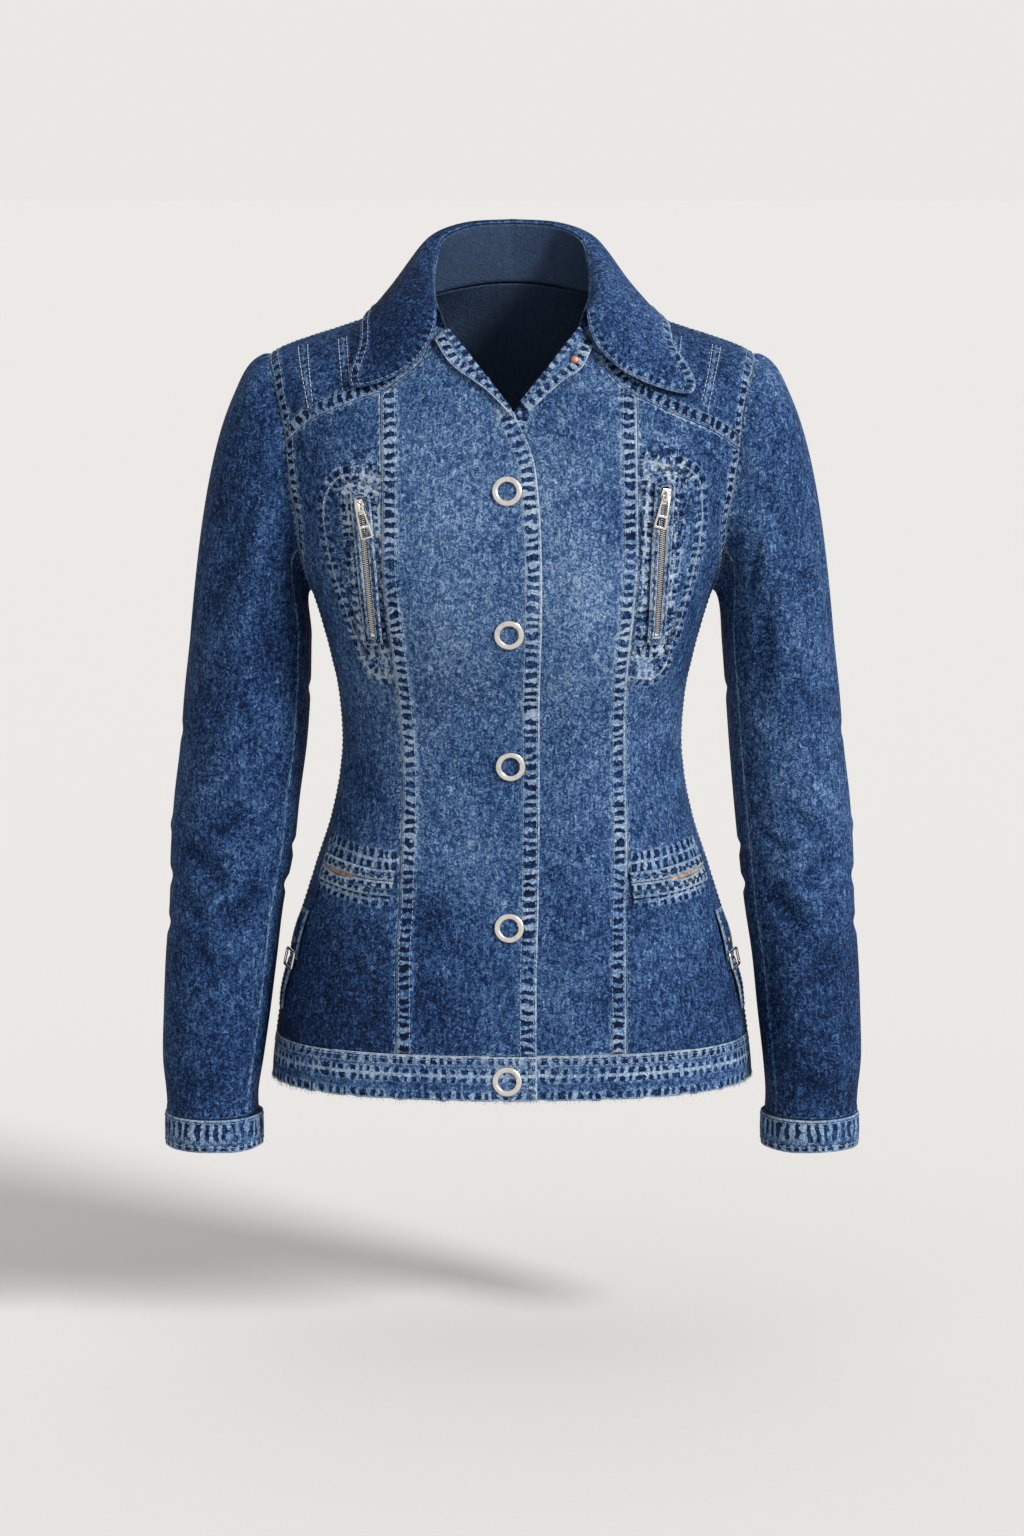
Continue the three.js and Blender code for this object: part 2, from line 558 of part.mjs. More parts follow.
/** Grid of the front panel between the side seam and the princess seam. */
function frontSide(name) {
  const lines = FRONT[name];
  const outer = joined(lines.sideSeam, lines.armLower);
  const inner = reversed(lines.princess);
  const bottom = seam([lines.sideSeam[0], inner[0]], SIDE_COLS);
  return name === 'right'
    ? fillGrid(bottom, lines.yokeSide, outer, inner)
    : fillGrid(reversed(bottom), reversed(lines.yokeSide), inner, outer);
}

/** Grid of the front yoke between armhole, shoulder, neck and the yoke seam. */
function frontYoke(name) {
  const lines = FRONT[name];
  const bottom = joined(lines.yokeSide, lines.yokeCentre);
  return name === 'right'
    ? fillGrid(bottom, lines.shoulder, lines.armUpper, lines.neckSide)
    : fillGrid(reversed(bottom), reversed(lines.shoulder), lines.neckSide, lines.armUpper);
}

/** Grid of the back panel beside the side seam. */
function backSide(name) {
  const lines = BACK[name];
  const outer = joined(lines.sideSeam, lines.armLower);
  const inner = reversed(lines.princess);
  return name === 'left'
    ? fillGrid(lines.bandSide, lines.yokeSide, outer, inner)
    : fillGrid(reversed(lines.bandSide), reversed(lines.yokeSide), inner, outer);
}

/** Grid of the panel along the middle of the back. */
function backCentre() {
  const across = (key) => joined(BACK.left[key], reversed(BACK.right[key]));
  return fillGrid(across('bandCentre'), across('yokeCentre'),
    reversed(BACK.left.princess), reversed(BACK.right.princess));
}

/** Grid of the back yoke between its seam, the armholes, the shoulders and the neck. */
function backYoke() {
  const edge = (name) => joined(BACK[name].armUpper, BACK[name].shoulder);
  const seamLine = (name) => joined(BACK[name].yokeSide, BACK[name].yokeCentre);
  const neck = seam([[90, NECK_RING], [270, NECK_RING]], 2 * (SIDE_COLS + CENTRE_COLS));
  return fillGrid(joined(seamLine('left'), reversed(seamLine('right'))), neck,
    edge('left'), edge('right'));
}

/** Grid of a stretch of the hem band between two [angle, side] places. */
function bandGrid(from, to, count) {
  const top = seam([from, [mix(from[0], to[0], 0.5), BAND_TOP], to], count);
  return [HEM, mix(HEM, BAND_TOP, 0.5), BAND_TOP].map((z) => top.map(([a]) => [a, z]));
}

/** Grid of the front edge turned back over the panel, from its fold to the cloth's edge. */
function facingGrid(name) {
  const top = viewOf(FRONT[name].fold[0]);
  const edge = new THREE.SplineCurve(FACING_EDGE[name].map((p) => new THREE.Vector2(p.x, p.z)))
    .getSpacedPoints(FACING_ROWS);
  return edge.map((rim, j) => {
    const down = (j / FACING_ROWS) * FACING_STOP[name];
    return [...Array(FACING_COLS + 1).keys()].map((i) => i / FACING_COLS).map((u) => seenAt(
      mix(mix(top.x, V_POINT.x, down), rim.x, u), mix(mix(top.z, V_POINT.z, down), rim.y, u)));
  });
}

/** Armhole as a closed smooth curve: whole steps are shoulder 0, front, underarm, back. */
function armhole(name) {
  const front = joined(FRONT[name].armLower, FRONT[name].armUpper);
  const back = joined(BACK[name].armLower, BACK[name].armUpper);
  const places = reversed(front).concat(back.slice(1, -1));
  return new THREE.CatmullRomCurve3(places.map(([a, side]) => trunk(a, side)), true);
}

/** Surface of one sleeve: step round the ring, and t from 0 at the armhole to 2 at the wrist. */
function sleeveSurface(name) {
  const s = SIDES[name];
  const hole = armhole(name);
  const tube = (step, z) => {
    const turn = (step / RING) * 2 * Math.PI;
    const outer = column(SLEEVE, 'z', 'outer', z);
    const inner = column(SLEEVE, 'z', name, z);
    const middle = (outer + inner) / 2;
    return new THREE.Vector3(
      s * (middle + (outer - inner) / 2 * Math.cos(turn)),
      column(SLEEVE, 'z', 'y', z) - column(SLEEVE, 'z', 'depth', z) * Math.sin(turn), z);
  };
  const plain = (step, t) => {
    const round = ((step % RING) + RING) % RING;
    if (t >= 1) return tube(round, mix(BICEP, CUFF_TOP + 0.2, t - 1));
    const from = hole.getPoint(round / RING);
    const to = tube(round, BICEP);
    const reach = from.distanceTo(to);
    const out = new THREE.Vector3(s * HEAD_OUT, -HEAD_PUFF * Math.sin(radians(round * 18)),
      -HEAD_DROP).multiplyScalar(reach);
    const down = new THREE.Vector3(s * HEAD_LEAN, 0, -1).multiplyScalar(reach);
    const t2 = t * t;
    const t3 = t2 * t;
    return from.multiplyScalar(2 * t3 - 3 * t2 + 1).addScaledVector(out, t3 - 2 * t2 + t)
      .addScaledVector(to, 3 * t2 - 2 * t3).addScaledVector(down, t3 - t2);
  };
  return plain;
}

/** Points and normals of a stretch of a sleeve between two ring steps. */
function sleevePiece(name, fromStep, toStep) {
  const surface = sleeveSurface(name);
  const s = SIDES[name];
  const stops = HEAD_STOPS.concat([...Array(TUBE_ROWS).keys()].map((i) => 1 + (i + 1) / TUBE_ROWS));
  const steps = [...Array(toStep - fromStep + 1).keys()].map((i) => fromStep + i);
  const normalAt = (step, t) => surfaceNormal(surface, step, Math.max(0.02, Math.min(1.99, t)),
    0.1, 0.01).multiplyScalar(s);
  const points = [];
  const normals = [];
  for (const t of stops) {
    const settle = THREE.MathUtils.smoothstep(t, 0, 0.4);
    normals.push(steps.map((step) => normalAt(step, t)));
    points.push(steps.map((step, i) => {
      const p = surface(step, t);
      const angle = (((step % RING) + RING) % RING) * (360 / RING);
      const rise = foldRise(SLEEVE_FOLDS, angle, p.z, SLEEVE_RADIUS) * settle;
      return p.addScaledVector(normals[normals.length - 1][i], rise);
    }));
  }
  return wall(drawIn(points, SEAM_HALF), normals, CLOTH);
}

/** Cuff: a closed ring of double cloth below the sleeve. */
function cuff(name) {
  const s = SIDES[name];
  const middle = s * (CUFF.inner + CUFF.outer) / 2;
  const half = (CUFF.outer - CUFF.inner) / 2;
  const heights = [CUFF_BOTTOM, mix(CUFF_BOTTOM, CUFF_TOP, 0.5), CUFF_TOP - LAY];
  const turns = [...Array(RING).keys()].map((i) => (i / RING) * 2 * Math.PI);
  const points = heights.map((z) => turns.map((turn) => new THREE.Vector3(
    middle + half * Math.cos(turn), CUFF.y + CUFF.depth * Math.sin(turn), z)));
  const normals = heights.map(() => turns.map((turn) => new THREE.Vector3(
    Math.cos(turn), Math.sin(turn), 0)));
  return wall(points, normals, BAND_CLOTH, true);
}

/** Value between the stations of a table's column, smooth along the whole collar. */
function stationValue(name, at) {
  const rows = COLLAR.map((row, i) => ({ ...row, i }));
  return column(rows, 'i', name, at);
}

/** Collar points at a station: 0 at the front end, the last one at the middle of the back. */
function collarFrame(side, at) {
  const s = SIDES[side];
  const place = (key) => new THREE.Vector3(s * stationValue(`${key}X`, at),
    stationValue(`${key}Y`, at), stationValue(`${key}Z`, at));
  const angle = stationValue('edgeAngle', at) + stationValue('tip', at) * TIP_TURN[side];
  const height = stationValue('edgeSide', at) + stationValue('tip', at) * TIP_DROP[side];
  const edge = trunk(s * angle, height, stationValue('lift', at));
  return { roll: place('roll'), knee: place('knee'), brim: place('brim'), edge };
}

/** Stations along the whole collar, from the right front end to the left one. */
function collarStations() {
  const last = COLLAR.length - 1;
  const half = [...Array(last * COLLAR_STEPS + 1).keys()].map((i) => i / COLLAR_STEPS);
  return half.map((at) => ['right', at])
    .concat(reversed(half).slice(1).map((at) => ['left', at]));
}

/** The turned-down part of the collar, from its roll line to its edge and points. */
function collarFall() {
  const columns = collarStations().map(([side, at]) => collarFrame(side, at));
  const start = (roll) => roll.clone().addScaledVector(
    new THREE.Vector3(roll.x, roll.y + NECK_SHIFT, 0).normalize(), ROLL_OUT);
  const points = [...Array(FALL_ROWS + 1).keys()].map((j) => columns.map((f) => (
    new THREE.CubicBezierCurve3(start(f.roll), f.knee, f.brim, f.edge).getPoint(j / FALL_ROWS))));
  const middle = new THREE.Vector3(0, 0, NECK_RING);
  const normals = gridNormals(points, false, (p, n, j) => (j === 0
    ? n.z > 0 : n.dot(p.clone().sub(middle)) > 0 || n.z > 0));
  return wall(drawIn(points, SEAM_HALF), normals, COLLAR_CLOTH);
}

/** The standing part of the collar, from the neckline up to the roll line. */
function collarStand() {
  const columns = collarStations().map(([side, at]) => {
    const foot = trunk(SIDES[side] * stationValue('footAngle', at), NECK_RING);
    return { foot, roll: collarFrame(side, at).roll };
  });
  const points = [...Array(STAND_ROWS + 1).keys()].map((j) => columns.map((f) => (
    f.foot.clone().lerp(f.roll, j / STAND_ROWS))));
  const axis = (p) => new THREE.Vector3(p.x, p.y + NECK_SHIFT, 0);
  const normals = gridNormals(points, false, (p, n) => n.dot(axis(p)) > 0);
  return wall(drawIn(points, STAND_GAP), normals, CLOTH);
}

/** Places beside a line of [angle, side] places, offset round the trunk by millimetres. */
function beside([angle, side], offset) {
  const perDegree = trunkForm(angle + 0.5, side).distanceTo(trunkForm(angle - 0.5, side));
  return [angle + offset / perDegree, side];
}

/** Thin flat strip lying on the trunk: centre line, half widths and how far out it lies. */
function layStrip(line, halfWidths, out, thickness) {
  const grid = reversed(line.map((place, j) => [-1, 0, 1].map(
    (k) => beside(place, k * halfWidths[Math.round(j * (halfWidths.length - 1) / (line.length - 1))]))));
  return trunkPanel(grid, { thickness, lift: () => out + thickness, gap: 0 });
}

/** Closed frame lying on the trunk round a slot along a line of places. */
function layFrame(line, slotHalf, frameHalf, endMargin, out, thickness) {
  const loop = (half, margin) => {
    const shift = (place, way) => [place[0], place[1] + way * margin];
    const rows = line.map((place, j) => (j === 0 ? shift(place, 1)
      : j === line.length - 1 ? shift(place, -1) : place));
    return rows.map((p) => beside(p, half)).concat(reversed(rows).map((p) => beside(p, -half)));
  };
  const grid = [loop(frameHalf, endMargin), loop(slotHalf, 0)];
  const normals = grid.map((line2) => line2.map(([a, side]) => trunkNormal(a, side)));
  const points = grid.map((line2, j) => line2.map(([a, side], i) => (
    trunk(a, side).addScaledVector(normals[j][i], out + thickness))));
  return wall(points, normals, thickness, true);
}

/** Frame of axes on the trunk: x round the body, y up the cloth, z out of it. */
function seatMatrix([angle, side], out, lean = 0) {
  const normal = trunkNormal(angle, side);
  const up = trunk(angle, side + 1).sub(trunk(angle, side - 1)).normalize();
  const round = up.clone().cross(normal).normalize();
  const matrix = new THREE.Matrix4().makeBasis(round, normal.clone().cross(round), normal);
  matrix.setPosition(trunk(angle, side, out));
  return matrix.multiply(new THREE.Matrix4().makeRotationZ(lean));
}

/** Round metal piece turned about its own axis, from a closed profile of [radius, height]. */
function turnedRing(profile, segments) {
  const lathe = new THREE.LatheGeometry(profile.map(([r, h]) => new THREE.Vector2(r, h)), segments);
  lathe.rotateX(Math.PI / 2);
  return lathe;
}

/** Flat outline with optional holes, as a plate centred on its own mid plane. */
function plate(outline, holes, thickness) {
  const rim = outline.map(([x, y]) => new THREE.Vector2(x, y));
  const shape = new THREE.Shape(THREE.ShapeUtils.isClockWise(rim) ? rim.reverse() : rim);
  for (const hole of holes) {
    shape.holes.push(new THREE.Path(hole.map(([x, y]) => new THREE.Vector2(x, y))));
  }
  const solid = new THREE.ExtrudeGeometry(shape, { depth: thickness, bevelEnabled: false, steps: 1 });
  return solid.translate(0, 0, -thickness / 2);
}

/** Zip slider: a rounded plate with an arched bridge over the pull's bar. */
function slider() {
  const { long, half, thick, bridgeHalf, legIn, legOut, windowTop, bridgeTop } = SLIDER;
  const tip = half * SLIDER_TAPER;
  const base = plate([[-tip, -long], [tip, -long], [half, long * 0.2], [half * 0.8, long],
    [-half * 0.8, long], [-half, long * 0.2]], [], thick);
  base.translate(0, 0, thick / 2);
  const arch = plate([[-legOut, thick * 0.5], [legOut, thick * 0.5], [legOut, bridgeTop - 1],
    [legOut - 1, bridgeTop], [1 - legOut, bridgeTop], [-legOut, bridgeTop - 1]],
  [[[-legIn, thick], [-legIn, windowTop], [legIn, windowTop], [legIn, thick]]], bridgeHalf * 2);
  arch.rotateX(Math.PI / 2);
  arch.rotateZ(Math.PI / 2);
  return united([base, arch]);
}

/** Pull tab: a long open frame with a cross bar, hanging from its own top bar. */
function pullTab() {
  const { long, topHalf, endHalf, rim, bar, thick, crossAt } = PULL;
  const half = (down) => mix(topHalf, endHalf, down / long);
  const window = (from, to, side) => [[-half(from) + side, -from], [half(from) - side, -from],
    [half(to) - side, -to], [-half(to) + side, -to]];
  const lowerRim = rim * 1.15;
  const outline = [[-topHalf, bar / 2], [topHalf, bar / 2], [endHalf, -long + 1],
    [endHalf - 1, -long], [1 - endHalf, -long], [-endHalf, -long + 1]];
  return plate(outline,
    [window(bar / 2, crossAt, rim), window(crossAt + bar, long - rim, lowerRim)], thick);
}

/** Joins closed geometries into one solid. */
function united(geometries) {
  const solids = geometries.map((geometry) => {
    geometry.deleteAttribute('normal');
    geometry.deleteAttribute('uv');
    const merged = mergeVertices(geometry, 1e-4);
    return new wasm.Manifold(new wasm.Mesh({
      numProp: 3,
      vertProperties: new Float32Array(merged.attributes.position.array),
      triVerts: new Uint32Array(merged.index.array),
    }));
  });
  const mesh = solids.reduce((sum, next) => sum.add(next)).getMesh();
  const joinedUp = new THREE.BufferGeometry();
  joinedUp.setAttribute('position', new THREE.BufferAttribute(mesh.vertProperties, 3));
  joinedUp.setIndex(new THREE.BufferAttribute(mesh.triVerts, 1));
  joinedUp.computeVertexNormals();
  return joinedUp;
}

/** Places along the chest zip, from its top to its bottom stop. */
function zipLine(name, rows) {
  return drawnSeam(ZIP[name], rows);
}

/** Lip of a waist pocket: a strip above or below the slit that it edges. */
function pocketLip(name, which) {
  const slit = drawnSeam(POCKET_SLIT[name], POCKET_COLS);
  const { near, far } = LIP[which];
  const grid = [near, far].map((dz) => slit.map(([a, side], i) => {
    const gape = which === 'lower' ? POCKET_GAPE * Math.sin(Math.PI * Math.min(1, i / 4)) : 0;
    return [a, side + dz - (dz === near ? gape : 0)];
  }));
  const rising = which === 'upper' ? grid : reversed(grid);
  const ordered = name === 'right' ? rising : rising.map((line) => reversed(line));
  return trunkPanel(ordered, { lift: () => LIP_OUT + CLOTH, gap: 0 });
}

const blue = (hex, roughness = 0.9) => new THREE.MeshStandardMaterial({ color: hex, roughness });
const metal = (hex) => new THREE.MeshStandardMaterial({ color: hex, metalness: 1, roughness: 0.35 });
const CLOTHS = {
  body: blue('#4f6f9c'), dark: blue('#2f4a78'), worn: blue('#6d8bb4'), tape: blue('#33465f'),
};
const METALS = { silver: metal('#b9b4a8'), copper: metal('#8a6a52') };

const jacket = new THREE.Group();

/** Adds one named piece to the jacket. */
function add(name, geometry, material, matrix) {
  const mesh = new THREE.Mesh(geometry, material);
  mesh.name = name;
  if (matrix) matrix.decompose(mesh.position, mesh.quaternion, mesh.scale);
  jacket.add(mesh);
}

for (const [name, s] of Object.entries(SIDES)) {
  const lift = name === 'left' ? underlapLift : () => 0;
  add(`front_${name}_centre`, trunkPanel(frontCentre(name), { lift }), CLOTHS.body);
  add(`front_${name}_side`, trunkPanel(frontSide(name)), CLOTHS.body);
  add(`front_yoke_${name}`, trunkPanel(frontYoke(name)), CLOTHS.dark);
  add(`front_facing_${name}`, trunkPanel(facingGrid(name), {
    lift: (p, u) => LAY + CLOTH + lift(p) + FACING_RISE * u }), CLOTHS.worn);
  add(`back_${name}_side`, trunkPanel(backSide(name)), CLOTHS.body);
  add(`sleeve_upper_${name}`,
    sleevePiece(name, BACK_SLEEVE_SEAM - RING, FRONT_SLEEVE_SEAM), CLOTHS.dark);
  add(`sleeve_under_${name}`, sleevePiece(name, FRONT_SLEEVE_SEAM, BACK_SLEEVE_SEAM), CLOTHS.dark);
  add(`cuff_${name}`, cuff(name), CLOTHS.worn);
  add(`pocket_lip_upper_${name}`, pocketLip(name, 'upper'), CLOTHS.worn);
  add(`pocket_lip_lower_${name}`, pocketLip(name, 'lower'), CLOTHS.worn);

  const line = zipLine(name, ZIP_ROWS);
  add(`zip_tape_${name}`, layStrip(line, [ZIP_TAPE.half], LAY, ZIP_TAPE.thick), CLOTHS.tape);
  add(`zip_lip_${name}`, layFrame(line, ZIP_LIP.slotHalf, ZIP_LIP.half, ZIP_LIP.end,
    ZIP_TAPE.thick + 2 * LAY, ZIP_LIP.thick), CLOTHS.worn);
  const base = ZIP_TAPE.thick + ZIP_LIP.thick + 3 * LAY;
  const top = zipLine(name, ZIP_ROWS * 4)[ZIP_SLIDER_STEP];
  const lean = Math.atan2(ZIP[name][1].x - ZIP[name][0].x, ZIP[name][0].z - ZIP[name][1].z);
  const seat = seatMatrix(top, base, lean * ZIP_LEAN_SHARE);
  add(`zip_slider_${name}`, slider(), METALS.silver, seat);
  const hang = seat.clone().multiply(new THREE.Matrix4().makeTranslation(0, 0, SLIDER.pivot))
    .multiply(new THREE.Matrix4().makeRotationX(radians(PULL_REST)));
  add(`zip_pull_${name}`, pullTab(), METALS.silver, hang);

  const strap = seam(SIDE_TAB.strap.map(([a, z]) => [s * a, z]), SIDE_TAB_ROWS);
  const tail = seam(SIDE_TAB.tail.map(([a, z]) => [s * a, z]), SIDE_TAB_ROWS);
  add(`side_tab_${name}`, layStrip(strap, SIDE_TAB.strapHalf, SIDE_TAB.out, CLOTH), CLOTHS.dark);
  add(`side_tab_tail_${name}`, layStrip(tail, SIDE_TAB.tailHalf, SIDE_TAB.out, CLOTH), CLOTHS.dark);
  const { ringHalfWide, ringHalfTall, ringBar, ringThick } = SIDE_TAB;
  const box = (x, y) => [[-x, -y], [x, -y], [x, y], [-x, y]];
  const ringOut = SIDE_TAB.out + CLOTH + LAY + SIDE_TAB.ringLift + ringThick / 2;
  add(`side_ring_${name}`,
    plate(box(ringHalfWide, ringHalfTall),
      [box(ringHalfWide - ringBar, ringHalfTall - ringBar)], ringThick), METALS.silver,
    seatMatrix([s * SIDE_TAB.ring[0], SIDE_TAB.ring[1]], ringOut));
  add(`side_rivet_${name}`, turnedRing(RIVET, RIVET_SIDES), METALS.copper,
    seatMatrix([s * SIDE_TAB.rivet[0], SIDE_TAB.rivet[1]], SIDE_TAB.out + CLOTH + LAY));
}
add('back_centre', trunkPanel(backCentre()), CLOTHS.body);
add('back_yoke', trunkPanel(backYoke()), CLOTHS.dark);
add('collar_fall', collarFall(), CLOTHS.dark);
add('collar_stand', collarStand(), CLOTHS.dark);

const bandEnd = (x) => [seenAt(x, BAND_TOP)[0], BAND_TOP];
const bandLift = { lift: () => BAND_OUT, thickness: BAND_CLOTH };
add('hem_band_right', trunkPanel(bandGrid([-90, BAND_TOP], bandEnd(FRONT_EDGE_X), BAND_COLS),
  bandLift), CLOTHS.worn);
add('hem_band_left', trunkPanel(bandGrid(bandEnd(2 - FRONT_EDGE_X), [90, BAND_TOP], BAND_COLS), {
  thickness: BAND_CLOTH, lift: (p) => BAND_OUT + underlapLift(p) * BAND_UNDERLAP / UNDERLAP,
}), CLOTHS.worn);
add('hem_band_back', trunkPanel(bandGrid([90, BAND_TOP], [270, BAND_TOP], BAND_COLS * 2),
  bandLift), CLOTHS.worn);

RING_SNAPS.forEach((snap, i) => {
  add(`ring_snap_${i + 1}`, turnedRing(SNAP_PROFILE, SNAP_SIDES), METALS.silver,
    seatMatrix(seenAt(snap.x, snap.z), snap.out));
});
const stud = seenAt(NECK_STUD.x, NECK_STUD.z);
add('neck_stud', turnedRing(RIVET, RIVET_SIDES), METALS.copper,
  seatMatrix(stud, 2 * LAY + CLOTH + FACING_RISE));

export default jacket;
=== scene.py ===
"""Looks of a washed denim jacket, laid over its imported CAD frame.

Sizes are in millimetres in the tables and become metres when a mesh is made. +Z is up, the
front faces -Y and +X is the wearer's left. The trunk is read as places of angle (0 front,
90 left, 180 back) and side height, as the CAD does.
"""

from __future__ import annotations

import json
import logging
import math
from dataclasses import dataclass, field
from enum import Enum
from typing import Callable, Iterable, Sequence

import bpy  # noqa: E402
import numpy as np  # noqa: E402
from mathutils import Vector  # noqa: E402
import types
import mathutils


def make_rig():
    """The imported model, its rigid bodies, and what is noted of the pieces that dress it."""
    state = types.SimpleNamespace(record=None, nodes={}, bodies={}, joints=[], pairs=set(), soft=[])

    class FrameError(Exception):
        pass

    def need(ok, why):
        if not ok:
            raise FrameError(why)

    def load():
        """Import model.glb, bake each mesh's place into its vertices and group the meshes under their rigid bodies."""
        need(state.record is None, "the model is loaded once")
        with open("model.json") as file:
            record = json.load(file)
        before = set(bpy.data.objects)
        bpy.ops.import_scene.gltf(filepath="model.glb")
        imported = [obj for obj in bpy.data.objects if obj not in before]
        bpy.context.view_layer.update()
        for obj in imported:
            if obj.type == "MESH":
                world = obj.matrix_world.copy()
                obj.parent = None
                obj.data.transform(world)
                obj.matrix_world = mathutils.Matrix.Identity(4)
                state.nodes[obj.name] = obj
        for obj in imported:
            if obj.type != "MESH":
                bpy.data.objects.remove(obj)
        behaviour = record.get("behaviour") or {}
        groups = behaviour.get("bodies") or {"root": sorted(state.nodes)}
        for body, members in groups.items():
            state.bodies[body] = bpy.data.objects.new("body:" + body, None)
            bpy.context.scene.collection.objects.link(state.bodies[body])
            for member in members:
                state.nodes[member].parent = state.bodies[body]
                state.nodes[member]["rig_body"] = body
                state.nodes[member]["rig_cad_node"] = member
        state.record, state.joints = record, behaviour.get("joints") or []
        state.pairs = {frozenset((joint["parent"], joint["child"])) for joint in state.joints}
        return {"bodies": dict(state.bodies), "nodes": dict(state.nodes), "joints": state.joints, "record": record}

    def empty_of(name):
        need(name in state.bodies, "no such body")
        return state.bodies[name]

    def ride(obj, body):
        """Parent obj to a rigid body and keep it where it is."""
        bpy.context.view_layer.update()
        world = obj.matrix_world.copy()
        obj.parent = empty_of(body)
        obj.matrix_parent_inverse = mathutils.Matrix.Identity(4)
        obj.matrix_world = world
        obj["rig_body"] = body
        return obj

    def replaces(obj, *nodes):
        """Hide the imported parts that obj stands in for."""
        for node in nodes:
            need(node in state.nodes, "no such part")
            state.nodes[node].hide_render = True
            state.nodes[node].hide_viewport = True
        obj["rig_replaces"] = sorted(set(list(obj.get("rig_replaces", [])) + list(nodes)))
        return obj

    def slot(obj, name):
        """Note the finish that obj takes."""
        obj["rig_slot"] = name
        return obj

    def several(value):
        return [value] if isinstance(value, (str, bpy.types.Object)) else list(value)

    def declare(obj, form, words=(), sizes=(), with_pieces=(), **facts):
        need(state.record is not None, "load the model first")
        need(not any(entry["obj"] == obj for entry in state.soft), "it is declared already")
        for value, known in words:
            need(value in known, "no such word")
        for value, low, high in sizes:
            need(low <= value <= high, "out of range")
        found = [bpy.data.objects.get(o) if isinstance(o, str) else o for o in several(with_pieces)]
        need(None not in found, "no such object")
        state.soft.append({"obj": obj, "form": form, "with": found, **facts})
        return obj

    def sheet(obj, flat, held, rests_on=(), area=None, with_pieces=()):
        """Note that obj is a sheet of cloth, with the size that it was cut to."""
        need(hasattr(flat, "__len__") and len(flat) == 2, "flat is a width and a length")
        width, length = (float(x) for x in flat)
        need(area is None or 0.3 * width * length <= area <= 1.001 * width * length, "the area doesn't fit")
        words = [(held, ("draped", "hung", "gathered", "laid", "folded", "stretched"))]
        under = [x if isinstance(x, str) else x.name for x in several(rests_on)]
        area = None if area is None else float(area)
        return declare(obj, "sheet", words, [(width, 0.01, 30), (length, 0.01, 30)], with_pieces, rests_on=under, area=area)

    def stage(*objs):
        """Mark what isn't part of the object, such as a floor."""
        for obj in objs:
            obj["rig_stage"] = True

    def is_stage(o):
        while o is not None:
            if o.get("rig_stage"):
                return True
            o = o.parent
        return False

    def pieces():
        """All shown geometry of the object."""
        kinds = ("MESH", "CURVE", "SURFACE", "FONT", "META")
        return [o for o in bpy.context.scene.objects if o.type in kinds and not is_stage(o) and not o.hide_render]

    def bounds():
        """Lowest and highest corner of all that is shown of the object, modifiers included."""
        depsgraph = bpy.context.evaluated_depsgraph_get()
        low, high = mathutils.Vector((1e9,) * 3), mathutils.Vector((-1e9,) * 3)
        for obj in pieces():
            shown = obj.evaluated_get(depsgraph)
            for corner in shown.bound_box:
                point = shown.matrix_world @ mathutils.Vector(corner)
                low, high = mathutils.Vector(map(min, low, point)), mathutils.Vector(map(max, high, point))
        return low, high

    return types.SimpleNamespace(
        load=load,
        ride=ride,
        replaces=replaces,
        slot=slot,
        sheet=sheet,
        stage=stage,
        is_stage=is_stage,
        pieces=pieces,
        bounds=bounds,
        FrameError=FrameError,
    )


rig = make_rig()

MM = 0.001
Array = np.ndarray
LOG = logging.getLogger("jacket")


class Side(Enum):
    """A side of the wearer, and which way +X it lies."""

    RIGHT = -1
    LEFT = 1

    @property
    def word(self) -> str:
        """The side as the CAD node names spell it."""
        return self.name.lower()


class Slot(Enum):
    """Material slots of the record."""

    BODY = "denim_body"
    DARK = "denim_dark"
    WORN = "denim_worn"
    TAPE = "zip_tape"
    SILVER = "silver_metal"
    COPPER = "copper_metal"


# ---- small maths


def smooth(x: Array, low: float, high: float) -> Array:
    """Smooth step from 0 at low to 1 at high."""
    t = np.clip((np.asarray(x, float) - low) / (high - low), 0.0, 1.0)
    return t * t * (3 - 2 * t)


def bump(distance: Array, reach: float) -> Array:
    """Smooth bump: 1 on its line, 0 from reach on."""
    q = np.clip(np.abs(distance) / reach, 0, 1)
    return (1 - q * q) ** 2


def unit(v: Array) -> Array:
    """Vectors of length one, along the last axis."""
    return v / np.maximum(np.linalg.norm(v, axis=-1, keepdims=True), 1e-12)


def cubic(keys: Array, values: Array, at: Array) -> Array:
    """Smooth value of a table column at any place along its rising keys.

    Args:
        keys: Where the values are known, rising.
        values: Values, one for each key, point or face.
        at: Where the values are wanted.

    Returns:
        The values there.
    """
    at = np.asarray(at, float)
    slopes = np.empty_like(values)
    slopes[1:-1] = (values[2:] - values[:-2]) / (keys[2:] - keys[:-2])
    slopes[0] = (values[1] - values[0]) / (keys[1] - keys[0])
    slopes[-1] = (values[-1] - values[-2]) / (keys[-1] - keys[-2])
    i = np.clip(np.searchsorted(keys, at), 1, len(keys) - 1) - 1
    span = keys[i + 1] - keys[i]
    t = (at - keys[i]) / span
    return ((2 * t**3 - 3 * t**2 + 1) * values[i] + (t**3 - 2 * t**2 + t) * span * slopes[i]
            + (3 * t**2 - 2 * t**3) * values[i + 1] + (t**3 - t**2) * span * slopes[i + 1])


def wobble(x: Array, seed: float, reach: float) -> Array:
    """Uneven smooth value from -1 to 1 along a line, changing over about reach."""
    x = np.asarray(x, float) / reach
    return (np.sin(x * 2.1 + seed * 1.7) + np.sin(x * 3.7 + seed * 4.1)
            + np.sin(x * 5.3 + seed * 2.3) * 0.6) / 2.6


